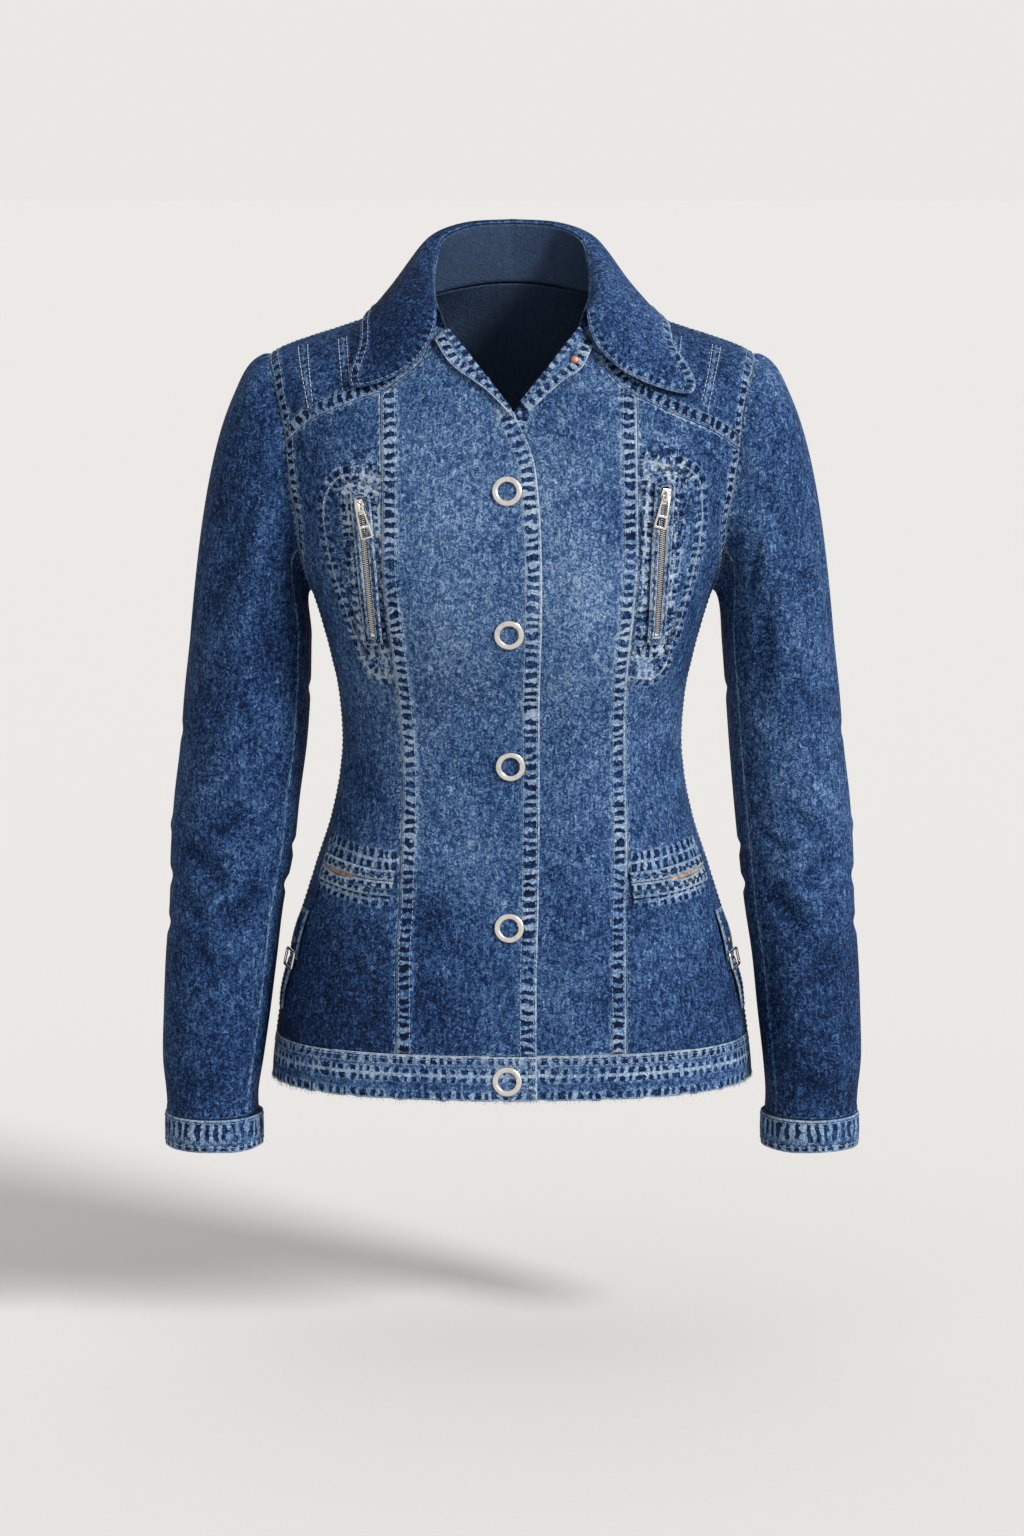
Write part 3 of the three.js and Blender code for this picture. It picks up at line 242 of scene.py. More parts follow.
class Table:
    """Rows of sizes under named columns, read smoothly between rows."""

    def __init__(self, names: str, rows: Sequence[Sequence[float]]) -> None:
        """Keeps the columns by name."""
        self.columns = {n: c for n, c in zip(names.split(), np.array(rows, float).T)}
        self.key = self.columns[names.split()[0]]

    def at(self, name: str, place: Array) -> Array:
        """Value of the named column at a place along the first one."""
        return cubic(self.key, self.columns[name], place)


def segment(points: Array, k: Array, t: Array, closed: bool) -> Array:
    """Places on the smooth curve through points: share t of the span that starts at point k.

    Args:
        points: Points.
        k: Number of the segment.
        t: Share of the way, 0 to 1.
        closed: Whether the line joins its start.

    Returns:
        The points there.
    """
    n = len(points)
    if closed:
        p = [points[(k + d) % n] for d in (-1, 0, 1, 2)]
    else:
        ends = np.vstack([2 * points[0] - points[1], points, 2 * points[-1] - points[-2]])
        p = [ends[k + d] for d in (0, 1, 2, 3)]
    dt = [np.maximum(np.linalg.norm(b - a, axis=-1, keepdims=True), 1e-9) ** 0.5
          for a, b in zip(p, p[1:])]
    m1 = ((p[1] - p[0]) / dt[0] - (p[2] - p[0]) / (dt[0] + dt[1]) + (p[2] - p[1]) / dt[1]) * dt[1]
    m2 = ((p[2] - p[1]) / dt[1] - (p[3] - p[1]) / (dt[1] + dt[2]) + (p[3] - p[2]) / dt[2]) * dt[1]
    t = t[..., None]
    return (p[1] + m1 * t + (3 * (p[2] - p[1]) - 2 * m1 - m2) * t**2
            + (2 * (p[1] - p[2]) + m1 + m2) * t**3)


def curve(points: Sequence[Sequence[float]], count: int, closed: bool = False) -> Array:
    """Evenly spaced places, count + 1 of them, along a smooth curve through points."""
    points = np.array(points, float)
    spans = len(points) if closed else len(points) - 1
    s = np.linspace(0, spans, spans * 40 + 1)
    k = np.minimum(s.astype(int), spans - 1)
    return evenly(segment(points, k, s - k, closed), count)


def run_of(line: Array) -> Array:
    """Length along a line up to each of its points."""
    steps = np.linalg.norm(np.diff(line, axis=0), axis=1)
    return np.concatenate([[0], np.cumsum(steps)])


def evenly(line: Array, count: int) -> Array:
    """The same line as count + 1 evenly spaced points."""
    run = run_of(line)
    at = np.linspace(0, run[-1], count + 1)
    return np.stack([np.interp(at, run, line[:, k]) for k in range(line.shape[1])], 1)


def fill(bottom: Array, top: Array, start: Array, end: Array) -> Array:
    """Grid of places between four edges, rows running from bottom to top."""
    u = np.linspace(0, 1, len(bottom))[None, :, None]
    v = np.linspace(0, 1, len(start))[:, None, None]
    return ((1 - v) * bottom[None] + v * top[None] + (1 - u) * start[:, None] + u * end[:, None]
            - (1 - u) * (1 - v) * bottom[0] - u * (1 - v) * bottom[-1]
            - (1 - u) * v * top[0] - u * v * top[-1])


# ---- creases


@dataclass(frozen=True)
class Crease:
    """A soft trough or ridge: middle, lean from upright, length, half width and rise."""

    angle: float
    z: float
    lean: float
    long: float
    wide: float
    rise: float


def crease_rise(creases: Iterable[Crease], angle: Array, z: Array, radius: float) -> Array:
    """Rise of all creases at an angle and height on a form of the given radius.

    Args:
        creases: The creases to add up.
        angle: Angle round the trunk, in degrees, 0 at the front.
        z: Height.
        radius: Radius that turns angles into millimetres.

    Returns:
        The rise.
    """
    rise = np.zeros(np.broadcast(angle, z).shape)
    for c in creases:
        across = np.radians((angle - c.angle + 540) % 360 - 180) * radius
        up = z - c.z
        lean = math.radians(c.lean)
        along = up * math.cos(lean) + across * math.sin(lean)
        aside = across * math.cos(lean) - up * math.sin(lean)
        aside = aside + 2.5 * wobble(along, c.z, 40)
        rise += c.rise * bump(along, c.long / 2) * bump(aside, c.wide)
    return rise


def crease_wear(rise: Array) -> Array:
    """How much paler the cloth is on a ridge, as wear, and how much darker in a trough, as painted shade."""
    return CREASE_WEAR_AND_SHADE * np.clip(rise, -3.0, 2.0)


TRUNK_CREASES = [Crease(*row) for row in (
    # angle, z, lean, long, wide, rise
    (-26, -460, -38, 110, 20, -3.0), (-16, -500, -34, 100, 18, 2.2),
    (36, -450, 34, 110, 22, -2.6), (60, -350, 74, 90, 18, -2.4),
    (-62, -352, -74, 90, 18, -2.4), (142, -345, 76, 130, 20, -3.2),
    (-146, -362, -72, 120, 20, -3.0), (150, -480, 24, 150, 26, 3.0),
    (-158, -490, -20, 150, 26, -3.0),
)]
# Finer creases that only the looks have; none runs under a snap, zip, welt or side tab.
TRUNK_FINE = [Crease(*row) for row in (
    (-38, -506, -30, 74, 9, -1.5), (-33, -519, -26, 62, 7, 1.2), (-50, -516, -16, 52, 8, -1.0),
    (-20, -395, -48, 50, 8, -1.0), (-22, -410, -44, 54, 8, 0.9),
    (24, -512, 28, 70, 9, -1.3), (31, -520, 22, 56, 8, 1.1), (46, -512, 14, 50, 9, -1.2),
    (22, -396, 46, 52, 8, -1.0), (56, -478, 30, 50, 8, 1.0),
    (-64, -395, -62, 70, 9, -1.2), (-68, -372, -70, 62, 8, 1.0), (64, -392, 60, 70, 9, -1.3),
    (68, -368, 66, 60, 8, 1.1), (-18, -190, -40, 50, 9, -0.8), (18, -196, 42, 56, 9, -0.8),
    (-14, -300, -60, 60, 8, -0.8), (14, -305, 58, 58, 8, -0.7),
    (-56, -268, 34, 60, 9, -1.1), (57, -262, -36, 60, 9, -1.2),
    (-66, -212, 40, 46, 8, -1.2), (66, -206, -42, 46, 8, -1.3),
    (100, -262, 34, 60, 9, -1.3), (112, -236, 42, 66, 9, -1.4), (-104, -258, -38, 60, 9, -1.4),
    (-116, -230, -44, 60, 9, -1.2), (128, -300, 56, 70, 9, -1.2), (-130, -306, -58, 70, 9, -1.2),
    (162, -330, 82, 110, 9, -1.3), (170, -362, 84, 100, 9, -1.3), (-166, -346, -80, 110, 9, 1.2),
    (-150, -392, -76, 90, 9, -1.2), (150, -398, 74, 90, 9, -1.3), (180, -316, 88, 80, 8, 1.0),
    (165, -520, 18, 90, 12, -1.6), (-172, -516, -14, 90, 12, 1.4), (128, -520, 22, 80, 11, -1.5),
    (-132, -514, -24, 84, 11, -1.4), (150, -190, 30, 70, 10, -1.0), (-152, -196, -32, 70, 10, -1.0),
)]
SLEEVE_CREASES = [Crease(*row) for row in (
    (60, -200, 10, 130, 17, -3.0), (108, -250, -8, 120, 15, -2.6), (84, -395, 58, 60, 13, -3.6),
    (70, -428, -56, 66, 13, -4.0), (106, -462, 52, 62, 13, -3.6), (76, -498, -50, 58, 13, -3.0),
    (250, -402, 60, 70, 14, -3.6), (285, -446, -56, 70, 14, -3.8), (262, -488, 56, 60, 14, -3.0),
    (90, -590, 84, 60, 10, -2.0), (268, -588, 86, 60, 10, -2.0),
)]
SLEEVE_FINE = [Crease(*row) for row in (
    (40, -168, 14, 110, 8, -1.6), (78, -176, 4, 120, 8, -1.4), (98, -196, -6, 100, 7, 1.2),
    (118, -214, -16, 90, 8, -1.4), (52, -262, 12, 90, 8, 1.2), (24, -232, 8, 100, 9, -1.3),
    (66, -308, 26, 70, 8, -1.3), (96, -330, -22, 70, 8, -1.4), (122, -318, 30, 60, 8, 1.1),
    (60, -372, 52, 52, 7, 1.5), (112, -408, 60, 54, 7, -1.8), (88, -412, -58, 52, 6, 1.6),
    (92, -446, 54, 56, 7, 1.9), (58, -460, -46, 50, 7, -1.7), (96, -482, -50, 50, 7, 1.6),
    (120, -446, -58, 52, 7, -1.7), (70, -520, 44, 54, 7, -1.5), (104, -532, -40, 50, 7, 1.3),
    (84, -556, 62, 44, 7, -1.2), (48, -548, -30, 60, 8, -1.2), (112, -572, 70, 40, 6, 1.0),
    (236, -372, 54, 60, 8, -1.6), (262, -424, -50, 60, 8, 1.6), (292, -408, 52, 60, 8, -1.8),
    (244, -462, -54, 60, 8, -1.7), (276, -516, 46, 60, 8, -1.4), (300, -470, -50, 56, 8, 1.4),
    (240, -540, -36, 60, 8, -1.2), (284, -560, 64, 50, 7, -1.2), (262, -290, 20, 90, 9, -1.4),
    (240, -222, -12, 100, 9, -1.5), (292, -206, 16, 100, 9, -1.4), (180, -300, 80, 40, 8, -1.3),
    (176, -420, 84, 50, 8, -1.8), (184, -448, -82, 50, 8, -1.8), (0, -440, 84, 50, 9, -1.6),
    (8, -476, 80, 46, 8, -1.4), (352, -402, 84, 44, 8, 1.1), (0, -330, 70, 40, 8, -0.8),
)]


# ---- trunk form

BAND_TOP, HEM, UNDERARM, SHOULDER_END, NECK_RING = -557.0, -590.0, -223.0, -48.0, -14.0
CUFF_TOP, CUFF_BOTTOM, BICEP = -615.0, -640.0, -262.0
CLOTH, BAND_CLOTH, COLLAR_CLOTH, SEAM_HALF, LAY = 1.2, 2.0, 1.6, 0.2, 0.4
PLY = 0.55           # rise of a felled seam's extra layers of cloth
PUCKER = 0.42        # rise of the roping along a seam
PUCKER_LONG = 7.2    # one light and one dark block of the roping
CREASE_WEAR_AND_SHADE = 0.034   # share of lightness for each millimetre of rise: paler ridges as wear, darker troughs as painted shade

TRUNK = Table("side half front frontZ back backZ", [
    (-592, 181, 106, -592, 112, -592), (-555, 177, 103, -555, 112, -555),
    (-520, 171, 98, -520, 110, -520), (-480, 162, 94, -480, 104, -480),
    (-434, 148, 90, -434, 93, -434), (-390, 134, 87, -390, 81, -390),
    (-345, 126.5, 87, -345, 74, -345), (-300, 128.5, 95, -300, 78, -300),
    (-265, 136, 106, -265, 86, -265), (-230, 146, 112, -230, 93, -230),
    (-190, 161, 111, -196, 98, -190), (-130, 179, 105, -158, 100, -143),
    (-80, 183, 98, -125, 95, -98), (-48, 177, 91, -98, 83, -58),
    (-28, 125, 83, -66, 69, -24), (-14, 76, 72, -36, 54, 2),
])
TRUNK_SQUARENESS = 0.05
TRUNK_RADIUS = 130.0


class Trunk:
    """The surface that every body panel lies on."""

    @staticmethod
    def form(angle: Array, side: Array) -> Array:
        """Points of the plain form, without creases.

        Args:
            angle: Angle round the trunk, in degrees, 0 at the front.
            side: Height along the side of the trunk.

        Returns:
            Points.
        """
        s, c = np.sin(np.radians(angle)), np.cos(np.radians(angle))
        ahead = c > 0
        depth = np.where(ahead, TRUNK.at("front", side), TRUNK.at("back", side))
        middle = np.where(ahead, TRUNK.at("frontZ", side), TRUNK.at("backZ", side))
        square = 1 + TRUNK_SQUARENESS * (2 * s * c) ** 2
        return np.stack([TRUNK.at("half", side) * s * square, -depth * c * square,
                         side + (middle - side) * c * c], -1)

    @classmethod
    def _cross(cls, surface: Callable, angle: Array, side: Array, da: float, ds: float) -> Array:
        """Outward normals of a surface, from steps to each side."""
        along = surface(angle + da, side) - surface(angle - da, side)
        up = surface(angle, side + ds) - surface(angle, side - ds)
        return unit(np.cross(along, up))

    @classmethod
    def place(cls, angle: Array, side: Array, out: Array = 0.0, fine: bool = False) -> Array:
        """Points of the creased trunk, moved out along its normal.

        Args:
            angle: Angle round the trunk, in degrees, 0 at the front.
            side: Height along the side of the trunk.
            out: Distance out of the cloth.
            fine: Whether the small creases count too.

        Returns:
            Points.
        """
        angle, side = np.asarray(angle, float), np.asarray(side, float)
        at = np.clip(side, TRUNK.key[0] + 1, NECK_RING - 0.5)
        normal = cls._cross(cls.form, angle, at, 0.5, 0.5)
        form = cls.form(angle, side)
        rise = crease_rise(TRUNK_CREASES, angle, form[..., 2], TRUNK_RADIUS) + out
        if fine:
            rise = rise + 1.5 * crease_rise(TRUNK_FINE, angle, form[..., 2], TRUNK_RADIUS)
        return form + normal * np.asarray(rise)[..., None]

    @classmethod
    def normal(cls, angle: Array, side: Array) -> Array:
        """Outward normals of the creased trunk."""
        at = np.clip(side, TRUNK.key[0] + 2, NECK_RING - 1.5)
        return cls._cross(cls.place, np.asarray(angle, float), at, 0.8, 1.0)

    @classmethod
    def seen(cls, x: Array, z: Array, behind: bool = False) -> Array:
        """Places, as angle and side height, of what is seen at x and z from one side.

        Args:
            x: Place across the view.
            z: Height.
            behind: Whether the view is from behind.

        Returns:
            Places.
        """
        x, z = np.asarray(x, float), np.asarray(z, float)
        angle = np.degrees(np.arcsin(np.clip(x / 190, -0.97, 0.97)))
        side = np.clip(z * 0.9, TRUNK.key[0], -30)

        def point(a: Array, s: Array) -> Array:
            """A point of the plain form on the side that is seen."""
            return cls.form(180 - a if behind else a, s)

        for _ in range(40):
            here = point(angle, side)
            by_a = (point(angle + 0.1, side) - here) * 10
            by_s = (point(angle, side + 0.1) - here) * 10
            det = by_a[..., 0] * by_s[..., 2] - by_s[..., 0] * by_a[..., 2]
            dx, dz = x - here[..., 0], z - here[..., 2]
            angle = angle + np.clip((dx * by_s[..., 2] - dz * by_s[..., 0]) / det, -12, 12) * 0.8
            side = side + np.clip((dz * by_a[..., 0] - dx * by_a[..., 2]) / det, -25, 25) * 0.8
            side = np.clip(side, TRUNK.key[0], NECK_RING)
        return np.stack([180 - angle if behind else angle, side], -1)

    @classmethod
    def view(cls, places: Array) -> Array:
        """Where places are seen, as x and z."""
        return cls.form(places[..., 0], places[..., 1])[..., [0, 2]]

    @classmethod
    def drawn(cls, points: Sequence, count: int, behind: bool = False) -> Array:
        """Places along a smooth line drawn in the front or back view."""
        line = curve(points, count)
        return cls.seen(line[:, 0], line[:, 1], behind)

    @staticmethod
    def seam(places: Sequence, count: int) -> Array:
        """Places along a smooth line through angle and side pairs."""
        return curve([(a * 2, s) for a, s in places], count) / (2, 1)


def joined(first: Array, second: Array) -> Array:
    """Two lines end to end, their shared point once."""
    return np.concatenate([first, second[1:]])


# ---- meshes


def raw_mesh(name: str, points: Array, quads: Array, values: dict[str, Array] | None = None
             ) -> bpy.types.Object:
    """A smooth mesh from points in millimetres, with values of each point as attributes.

    Args:
        name: Name of the piece.
        points: Points.
        quads: Corner numbers of each face.
        values: Values, one for each key, point or face.

    Returns:
        The new object.
    """
    mesh = bpy.data.meshes.new(name)
    mesh.from_pydata((points * MM).tolist(), [], quads.tolist())
    for key, value in (values or {}).items():
        kind = "FLOAT_VECTOR" if value.ndim == 2 else "FLOAT"
        layer = mesh.attributes.new(key, kind, "POINT")
        layer.data.foreach_set("vector" if value.ndim == 2 else "value",
                               np.ascontiguousarray(value, np.float32).ravel())
    mesh.shade_smooth()
    obj = bpy.data.objects.new(name, mesh)
    bpy.context.scene.collection.objects.link(obj)
    return obj


def grid_quads(rows: int, cols: int, ring: bool = False, start: int = 0) -> Array:
    """Quads of a grid of points; a ring's last column meets its first one."""
    k = start + np.arange(rows * cols).reshape(rows, cols)
    if ring:
        k = np.hstack([k, k[:, :1]])
    return np.stack([k[:-1, :-1], k[:-1, 1:], k[1:, 1:], k[1:, :-1]], -1).reshape(-1, 4)


def grid_mesh(name: str, points: Array, ring: bool = False) -> bpy.types.Object:
    """A mesh over a grid of points in millimetres."""
    return raw_mesh(name, points.reshape(-1, 3), grid_quads(*points.shape[:2], ring))


def grid_normals(points: Array, ring: bool = False) -> Array:
    """Normals of a grid of points from its neighbours."""
    if ring:
        along = np.roll(points, -1, 1) - np.roll(points, 1, 1)
    else:
        along = np.gradient(points, axis=1)
    return unit(np.cross(along, np.gradient(points, axis=0)))


@dataclass(frozen=True)
class Seam:
    """A seam, fell or hem of a patch, on one of its edges or along a line across it.

    Attributes:
        edge: bottom, top, start or end of the grid, or line.
        span: stretch of that edge, as shares of its points.
        band: width of the felled cloth beside it.
        strength: how strongly it ropes and wears.
        rows: distances of its stitch rows from the edge.
        ply: whether its extra layers lift the cloth.
        line: points of a line that crosses the patch.
    """

    edge: str
    span: tuple[float, float] = (0.0, 1.0)
    band: float = 11.5
    strength: float = 1.0
    rows: tuple[float, ...] = (1.9, 10.0)
    ply: bool = True
    line: Array | None = None


class Threads:
    """Sewing thread: short stitches along lines, gathered into one mesh."""

    LONG, GAP, RADIUS, RISE, SINK = 2.9, 0.9, 0.3, 0.22, -0.3

    def __init__(self, name: str, finish: str) -> None:
        """Starts with no stitches."""
        self.name, self.finish = name, finish
        self.points: list[Array] = []

    def sew(self, line: Array, normals: Array) -> None:
        """Adds stitches along a line that lies on cloth with the given normals.

        Args:
            line: Points or places of the line, in order.
            normals: Outward normals at the points.
        """
        run = run_of(line)
        pitch = self.LONG + self.GAP
        starts = np.arange(self.GAP, run[-1] - self.LONG, pitch)
        if not len(starts):
            return
        starts = starts + 0.25 * np.sin(starts * 12.9)
        at = starts[:, None] + np.array([0, 0.2, 0.8, 1]) * self.LONG

        def read(values: Array) -> Array:
            """Values at the stitches' runs."""
            return np.stack([np.interp(at, run, values[:, k]) for k in range(3)], -1)

        centre, normal = read(line), unit(read(normals))
        way = unit(np.gradient(centre, axis=1))
        aside = unit(np.cross(way, normal))
        height = np.array([self.SINK, self.RISE, self.RISE, self.SINK])
        radius = self.RADIUS * np.array([0.5, 1, 1, 0.5])
        centre = centre + normal * height[None, :, None]
        ring = [centre + normal * radius[:, None], centre + aside * radius[:, None],
                centre - normal * radius[:, None], centre - aside * radius[:, None]]
        self.points.append(np.stack(ring, 2).reshape(-1, 4, 4, 3))

    def build(self) -> bpy.types.Object | None:
        """Makes the mesh of all stitches.

        Returns:
            The new object.
        """
        if not self.points:
            return None
        points = np.concatenate(self.points)
        one = grid_quads(4, 4, ring=True)
        quads = (one[None] + 16 * np.arange(len(points))[:, None, None]).reshape(-1, 4)
        obj = raw_mesh(self.name, points.reshape(-1, 3), quads)
        obj.data.materials.append(Finish.named(self.finish))
        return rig.ride(obj, "jacket")


@dataclass
class Patch:
    """One cut piece: a grid of its outer points, made into a thin closed shell.

    Attributes:
        name: name of the piece in the scene.
        node: the CAD node that it stands for.
        points: outer points, rows by columns.
        normals: way out of the cloth at each point.
        slot: material slot of the record.
        cut: flat width and length of the cut, in metres.
        share: share of that rectangle that the cut fills.
        seams: its seams and hems.
        fade: lightness at each point, 0 dark to 1 pale: the wash, with painted shade in crease troughs and on parts
            turned from the light.
        scuff: how patchily the cloth is rubbed pale at each point.
        thickness: of the cloth.
        ring: whether the columns close into a tube.
        held: how the cloth is held.
    """

    name: str
    node: str
    points: Array
    normals: Array
    slot: Slot
    cut: tuple[float, float]
    share: float = 1.0
    seams: Sequence[Seam] = ()
    fade: Array | float = 0.5
    thickness: float = CLOTH
    ring: bool = False
    held: str = "stretched"
    scuff: Array | float = 0.0
    relief: float = 1.0
    body: str = "jacket"
    outer: Array = field(init=False)

    def build(self, threads: Threads) -> bpy.types.Object:
        """Marks the seams, raises the relief, sews the rows and makes the shell.

        Args:
            threads: The stitches that the rows are added to.

        Returns:
            The new object.
        """
        off, share, run, amp, ply = self._mark()
        rise = PLY * ply * (1 - smooth(share, 0.86, 1.12))
        rope = amp * (0.55 * wobble(run, 3.0, 21.0) + 0.45 * wobble(run, 7.0, 9.0))
        rise = rise + self.relief * PUCKER * rope * (1 - smooth(share, 0.9, 1.7))
        self.outer = self.points + self.normals * rise[..., None]
        for seam in self.seams:
            self._sew(seam, threads)
        obj = self._shell(off, share, run, amp)
        obj.data.materials.append(Finish.denim())
        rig.ride(obj, self.body)
        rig.replaces(obj, self.node)
        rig.slot(obj, self.slot.value)
        area = None if self.share >= 1 else self.cut[0] * self.cut[1] * self.share
        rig.sheet(obj, flat=self.cut, held=self.held, area=area)
        area = surface_area(self.outer, self.ring)
        LOG.info("%s: %d points, %.4f m2 of %.4f", self.name, len(obj.data.vertices),
                 area * MM * MM, self.cut[0] * self.cut[1] * self.share)
        return obj

    def _edge_index(self, edge: str) -> tuple:
        """Points of an edge, as an index of the grid."""
        return {"bottom": (0, slice(None)), "top": (-1, slice(None)),
                "start": (slice(None), 0), "end": (slice(None), -1)}[edge]

    def _edge(self, seam: Seam) -> Array:
        """Points of a seam's line, or of its share of the edge.

        Args:
            seam: The seam.

        Returns:
            The points, in order.
        """
        if seam.line is not None:
            return seam.line
        line = self.points[self._edge_index(seam.edge)]
        if self.ring and seam.edge in ("bottom", "top"):
            line = np.vstack([line, line[:1]])
        low, high = (round(s * (len(line) - 1)) for s in seam.span)
        return line[low:high + 1]

    def _mark(self) -> tuple[Array, ...]:
        """Distance, share of the band, run, strength and ply of the nearest seam.

        Returns:
            Distance, share, run, strength and ply at each point.
        """
        flat = self.points.reshape(-1, 3)
        best = np.full(len(flat), 9.0)
        off, run, amp, ply = (np.zeros(len(flat)) for _ in range(4))
        off += 60.0
        for number, seam in enumerate(self.seams):
            d, r = nearest(flat, self._edge(seam))
            share = d / max(seam.band, 2.5)
            closer = share < best
            best = np.where(closer, share, best)
            off = np.where(closer, d, off)
            warped = r + 1.7 * wobble(r, number + 1.5, 17.0) + 0.6 * wobble(r, number, 6.0)
            run = np.where(closer, warped + 131.0 * number, run)
            strength = seam.strength * (0.72 + 0.28 * wobble(r, number + 0.3, 46.0))
            amp = np.where(closer, strength, amp)
            ply = np.where(closer, float(seam.ply and seam.band > 2.5), ply)
        shape = self.points.shape[:2]
        return tuple(v.reshape(shape) for v in (off, best, run, amp, ply))

    def _sew(self, seam: Seam, threads: Threads) -> None:
        """Lays the stitch rows of one seam on the raised cloth.

        Args:
            seam: The seam.
            threads: The stitches that the rows are added to.
        """
        normals = grid_normals(self.outer, self.ring)
        if (np.sum(normals * self.normals, -1)).mean() < 0:
            normals = -normals
        if seam.line is not None or not seam.rows:
            return
        turn = {"bottom": False, "top": False, "start": True, "end": True}[seam.edge]
        grid, way, flat = ((a.swapaxes(0, 1) if turn else a)
                           for a in (self.outer, normals, self.points))
        if seam.edge in ("top", "end"):
            grid, way, flat = grid[::-1], way[::-1], flat[::-1]
        low, high = (round(s * (grid.shape[1] - 1)) for s in seam.span)
        edge = flat[0, low:high + 1]
        reach = min(len(grid), 60)
        distance = nearest(flat[:reach].reshape(-1, 3), edge)[0].reshape(reach, -1)
        for row in seam.rows:
            line, out = [], []
            for k in range(low, high + 1):
                d = np.maximum.accumulate(distance[:, k])
                if d[-1] < row:
                    continue
                at = np.interp(row, d, np.arange(reach))
                j = min(int(at), reach - 2)
                t = at - j
                line.append(grid[j, k] * (1 - t) + grid[j + 1, k] * t)
                out.append(way[j, k])
            if len(line) > 3:
                threads.sew(np.array(line), np.array(out))

    def _shell(self, off: Array, share: Array, run: Array, amp: Array) -> bpy.types.Object:
        """The closed thin shell with its attributes.

        Args:
            off: Distance from the nearest seam.
            share: That distance as a share of the band.
            run: Run along the seam.
            amp: Strength of the roping.

        Returns:
            Points of the raised cloth.
        """
        rows, cols = self.points.shape[:2]
        inner = self.outer - self.normals * self.thickness
        count = rows * cols
        top, under = grid_quads(rows, cols, self.ring), grid_quads(rows, cols, self.ring, count)
        facing = np.sum(grid_normals(self.outer, self.ring) * self.normals, -1).mean() > 0
        k = np.arange(count).reshape(rows, cols)
        rims = [k[0], k[-1][::-1]]
        if self.ring:
            rims = [np.append(r, r[0]) for r in rims]
        else:
            rims += [k[:, -1], k[::-1, 0]]
        rim = np.concatenate([np.stack([r[1:], r[:-1], r[:-1] + count, r[1:] + count], -1)
                              for r in rims])
        quads = np.concatenate([top, under[:, ::-1], rim])
        if not facing:
            quads = quads[:, ::-1]
        points = np.concatenate([self.outer.reshape(-1, 3), inner.reshape(-1, 3)])
        fade = np.broadcast_to(np.asarray(self.fade, float), (rows, cols)).ravel()
        seam = np.stack([off.ravel(), share.ravel(), run.ravel()], -1)
        scuff = np.broadcast_to(np.asarray(self.scuff, float), (rows, cols)).ravel()
        side = np.concatenate([np.zeros(count), np.ones(count)])
        values = {"seam": np.tile(seam, (2, 1)), "rope": np.tile(amp.ravel(), 2),
                  "fade": np.tile(fade, 2), "scuff": np.tile(scuff, 2), "reverse": side}
        return raw_mesh(self.name, points, quads, values)


def nearest(points: Array, line: Array) -> tuple[Array, Array]:
    """Distance of points from a line, and the run along it of the nearest place.

    Args:
        points: Points.
        line: Points or places of the line, in order.

    Returns:
        Distance from the line, and run along it.
    """
    fine = evenly(line, max(8, int(run_of(line)[-1] / 2.0)))
    run = run_of(fine)
    way = unit(np.gradient(fine, axis=0))
    off, along = np.empty(len(points)), np.empty(len(points))
    for k in range(0, len(points), 8192):
        p = points[k:k + 8192]
        d2 = (p**2).sum(1)[:, None] + (fine**2).sum(1)[None] - 2 * p @ fine.T
        near = d2.argmin(1)
        gap = p - fine[near]
        t = (gap * way[near]).sum(1)
        t = np.where((near == 0) & (t < 0) | (near == len(fine) - 1) & (t > 0), 0, t)
        off[k:k + 8192] = np.linalg.norm(gap - t[:, None] * way[near], axis=1)
        along[k:k + 8192] = run[near] + t
    return off, along


def surface_area(points: Array, ring: bool = False) -> float:
    """Area of a grid of points."""
    q = points.reshape(-1, 3)[grid_quads(*points.shape[:2], ring)]
    return float(np.linalg.norm(np.cross(q[:, 2] - q[:, 0], q[:, 3] - q[:, 1]), axis=1).sum() / 2)


def drawn_in(points: Array, ring: bool = False) -> Array:
    """The grid with its edges drawn in by the seam's half gap.

    Args:
        points: Points.
        ring: Whether the piece closes on itself.

    Returns:
        The moved points.
    """
    moved = points.copy()
    for a, b in ((0, 1), (-1, -2)):
        moved[a] += unit(points[b] - points[a]) * SEAM_HALF
        if not ring:
            moved[:, a] += unit(points[:, b] - points[:, a]) * SEAM_HALF
    return moved


# ---- body panels

PRINCESS = [  # z, right x, left x
    (-156, -94, 91), (-195, -94, 91), (-234, -90.5, 88), (-286, -84, 83.5), (-342, -80, 83),
    (-403, -81, 84.5), (-484, -85, 84), (BAND_TOP, -85, 84),
]
YOKE_SEAM = {
    Side.RIGHT: [(-165, -110), (-146, -93), (-115, -79), (-95, -72), (-80, -62), (-66, -50)],
    Side.LEFT: [(166, -115), (148, -102), (111, -85), (90, -75), (77, -66), (65, -51)],
}
NECK_END = {Side.RIGHT: -44.0, Side.LEFT: 44.0}
NECK_FRONT = {Side.RIGHT: -36.0, Side.LEFT: 38.0}
V_POINT = (1.0, -86.0)
FRONT_EDGE = [(5, -94), (15.3, -118), (19.6, -149), (21.7, -194), (21.7, -238), (20.3, -293),
              (20.4, -362), (19.7, -443), (18.3, -505), (18.3, BAND_TOP)]
ARMHOLE_FRONT = [(162, -142), (157, -172)]
ARMHOLE_YOKE = [(168.5, -88), (174, -66)]
FACING_EDGE = {
    Side.RIGHT: [(-56, -36), (-44, -53), (-18, -71.5), (0.5, -90)],
    Side.LEFT: [(58, -41), (50, -56), (36, -65), (12, -86)],
}
FACING_STOP = {Side.RIGHT: 0.97, Side.LEFT: 0.88}
BACK_YOKE_ARM, BACK_YOKE_MID = (124.0, -128.0), -150.0
BACK_PRINCESS = [(92, -148), (84, -240), (58, -345), (72, -440), (88, BAND_TOP)]
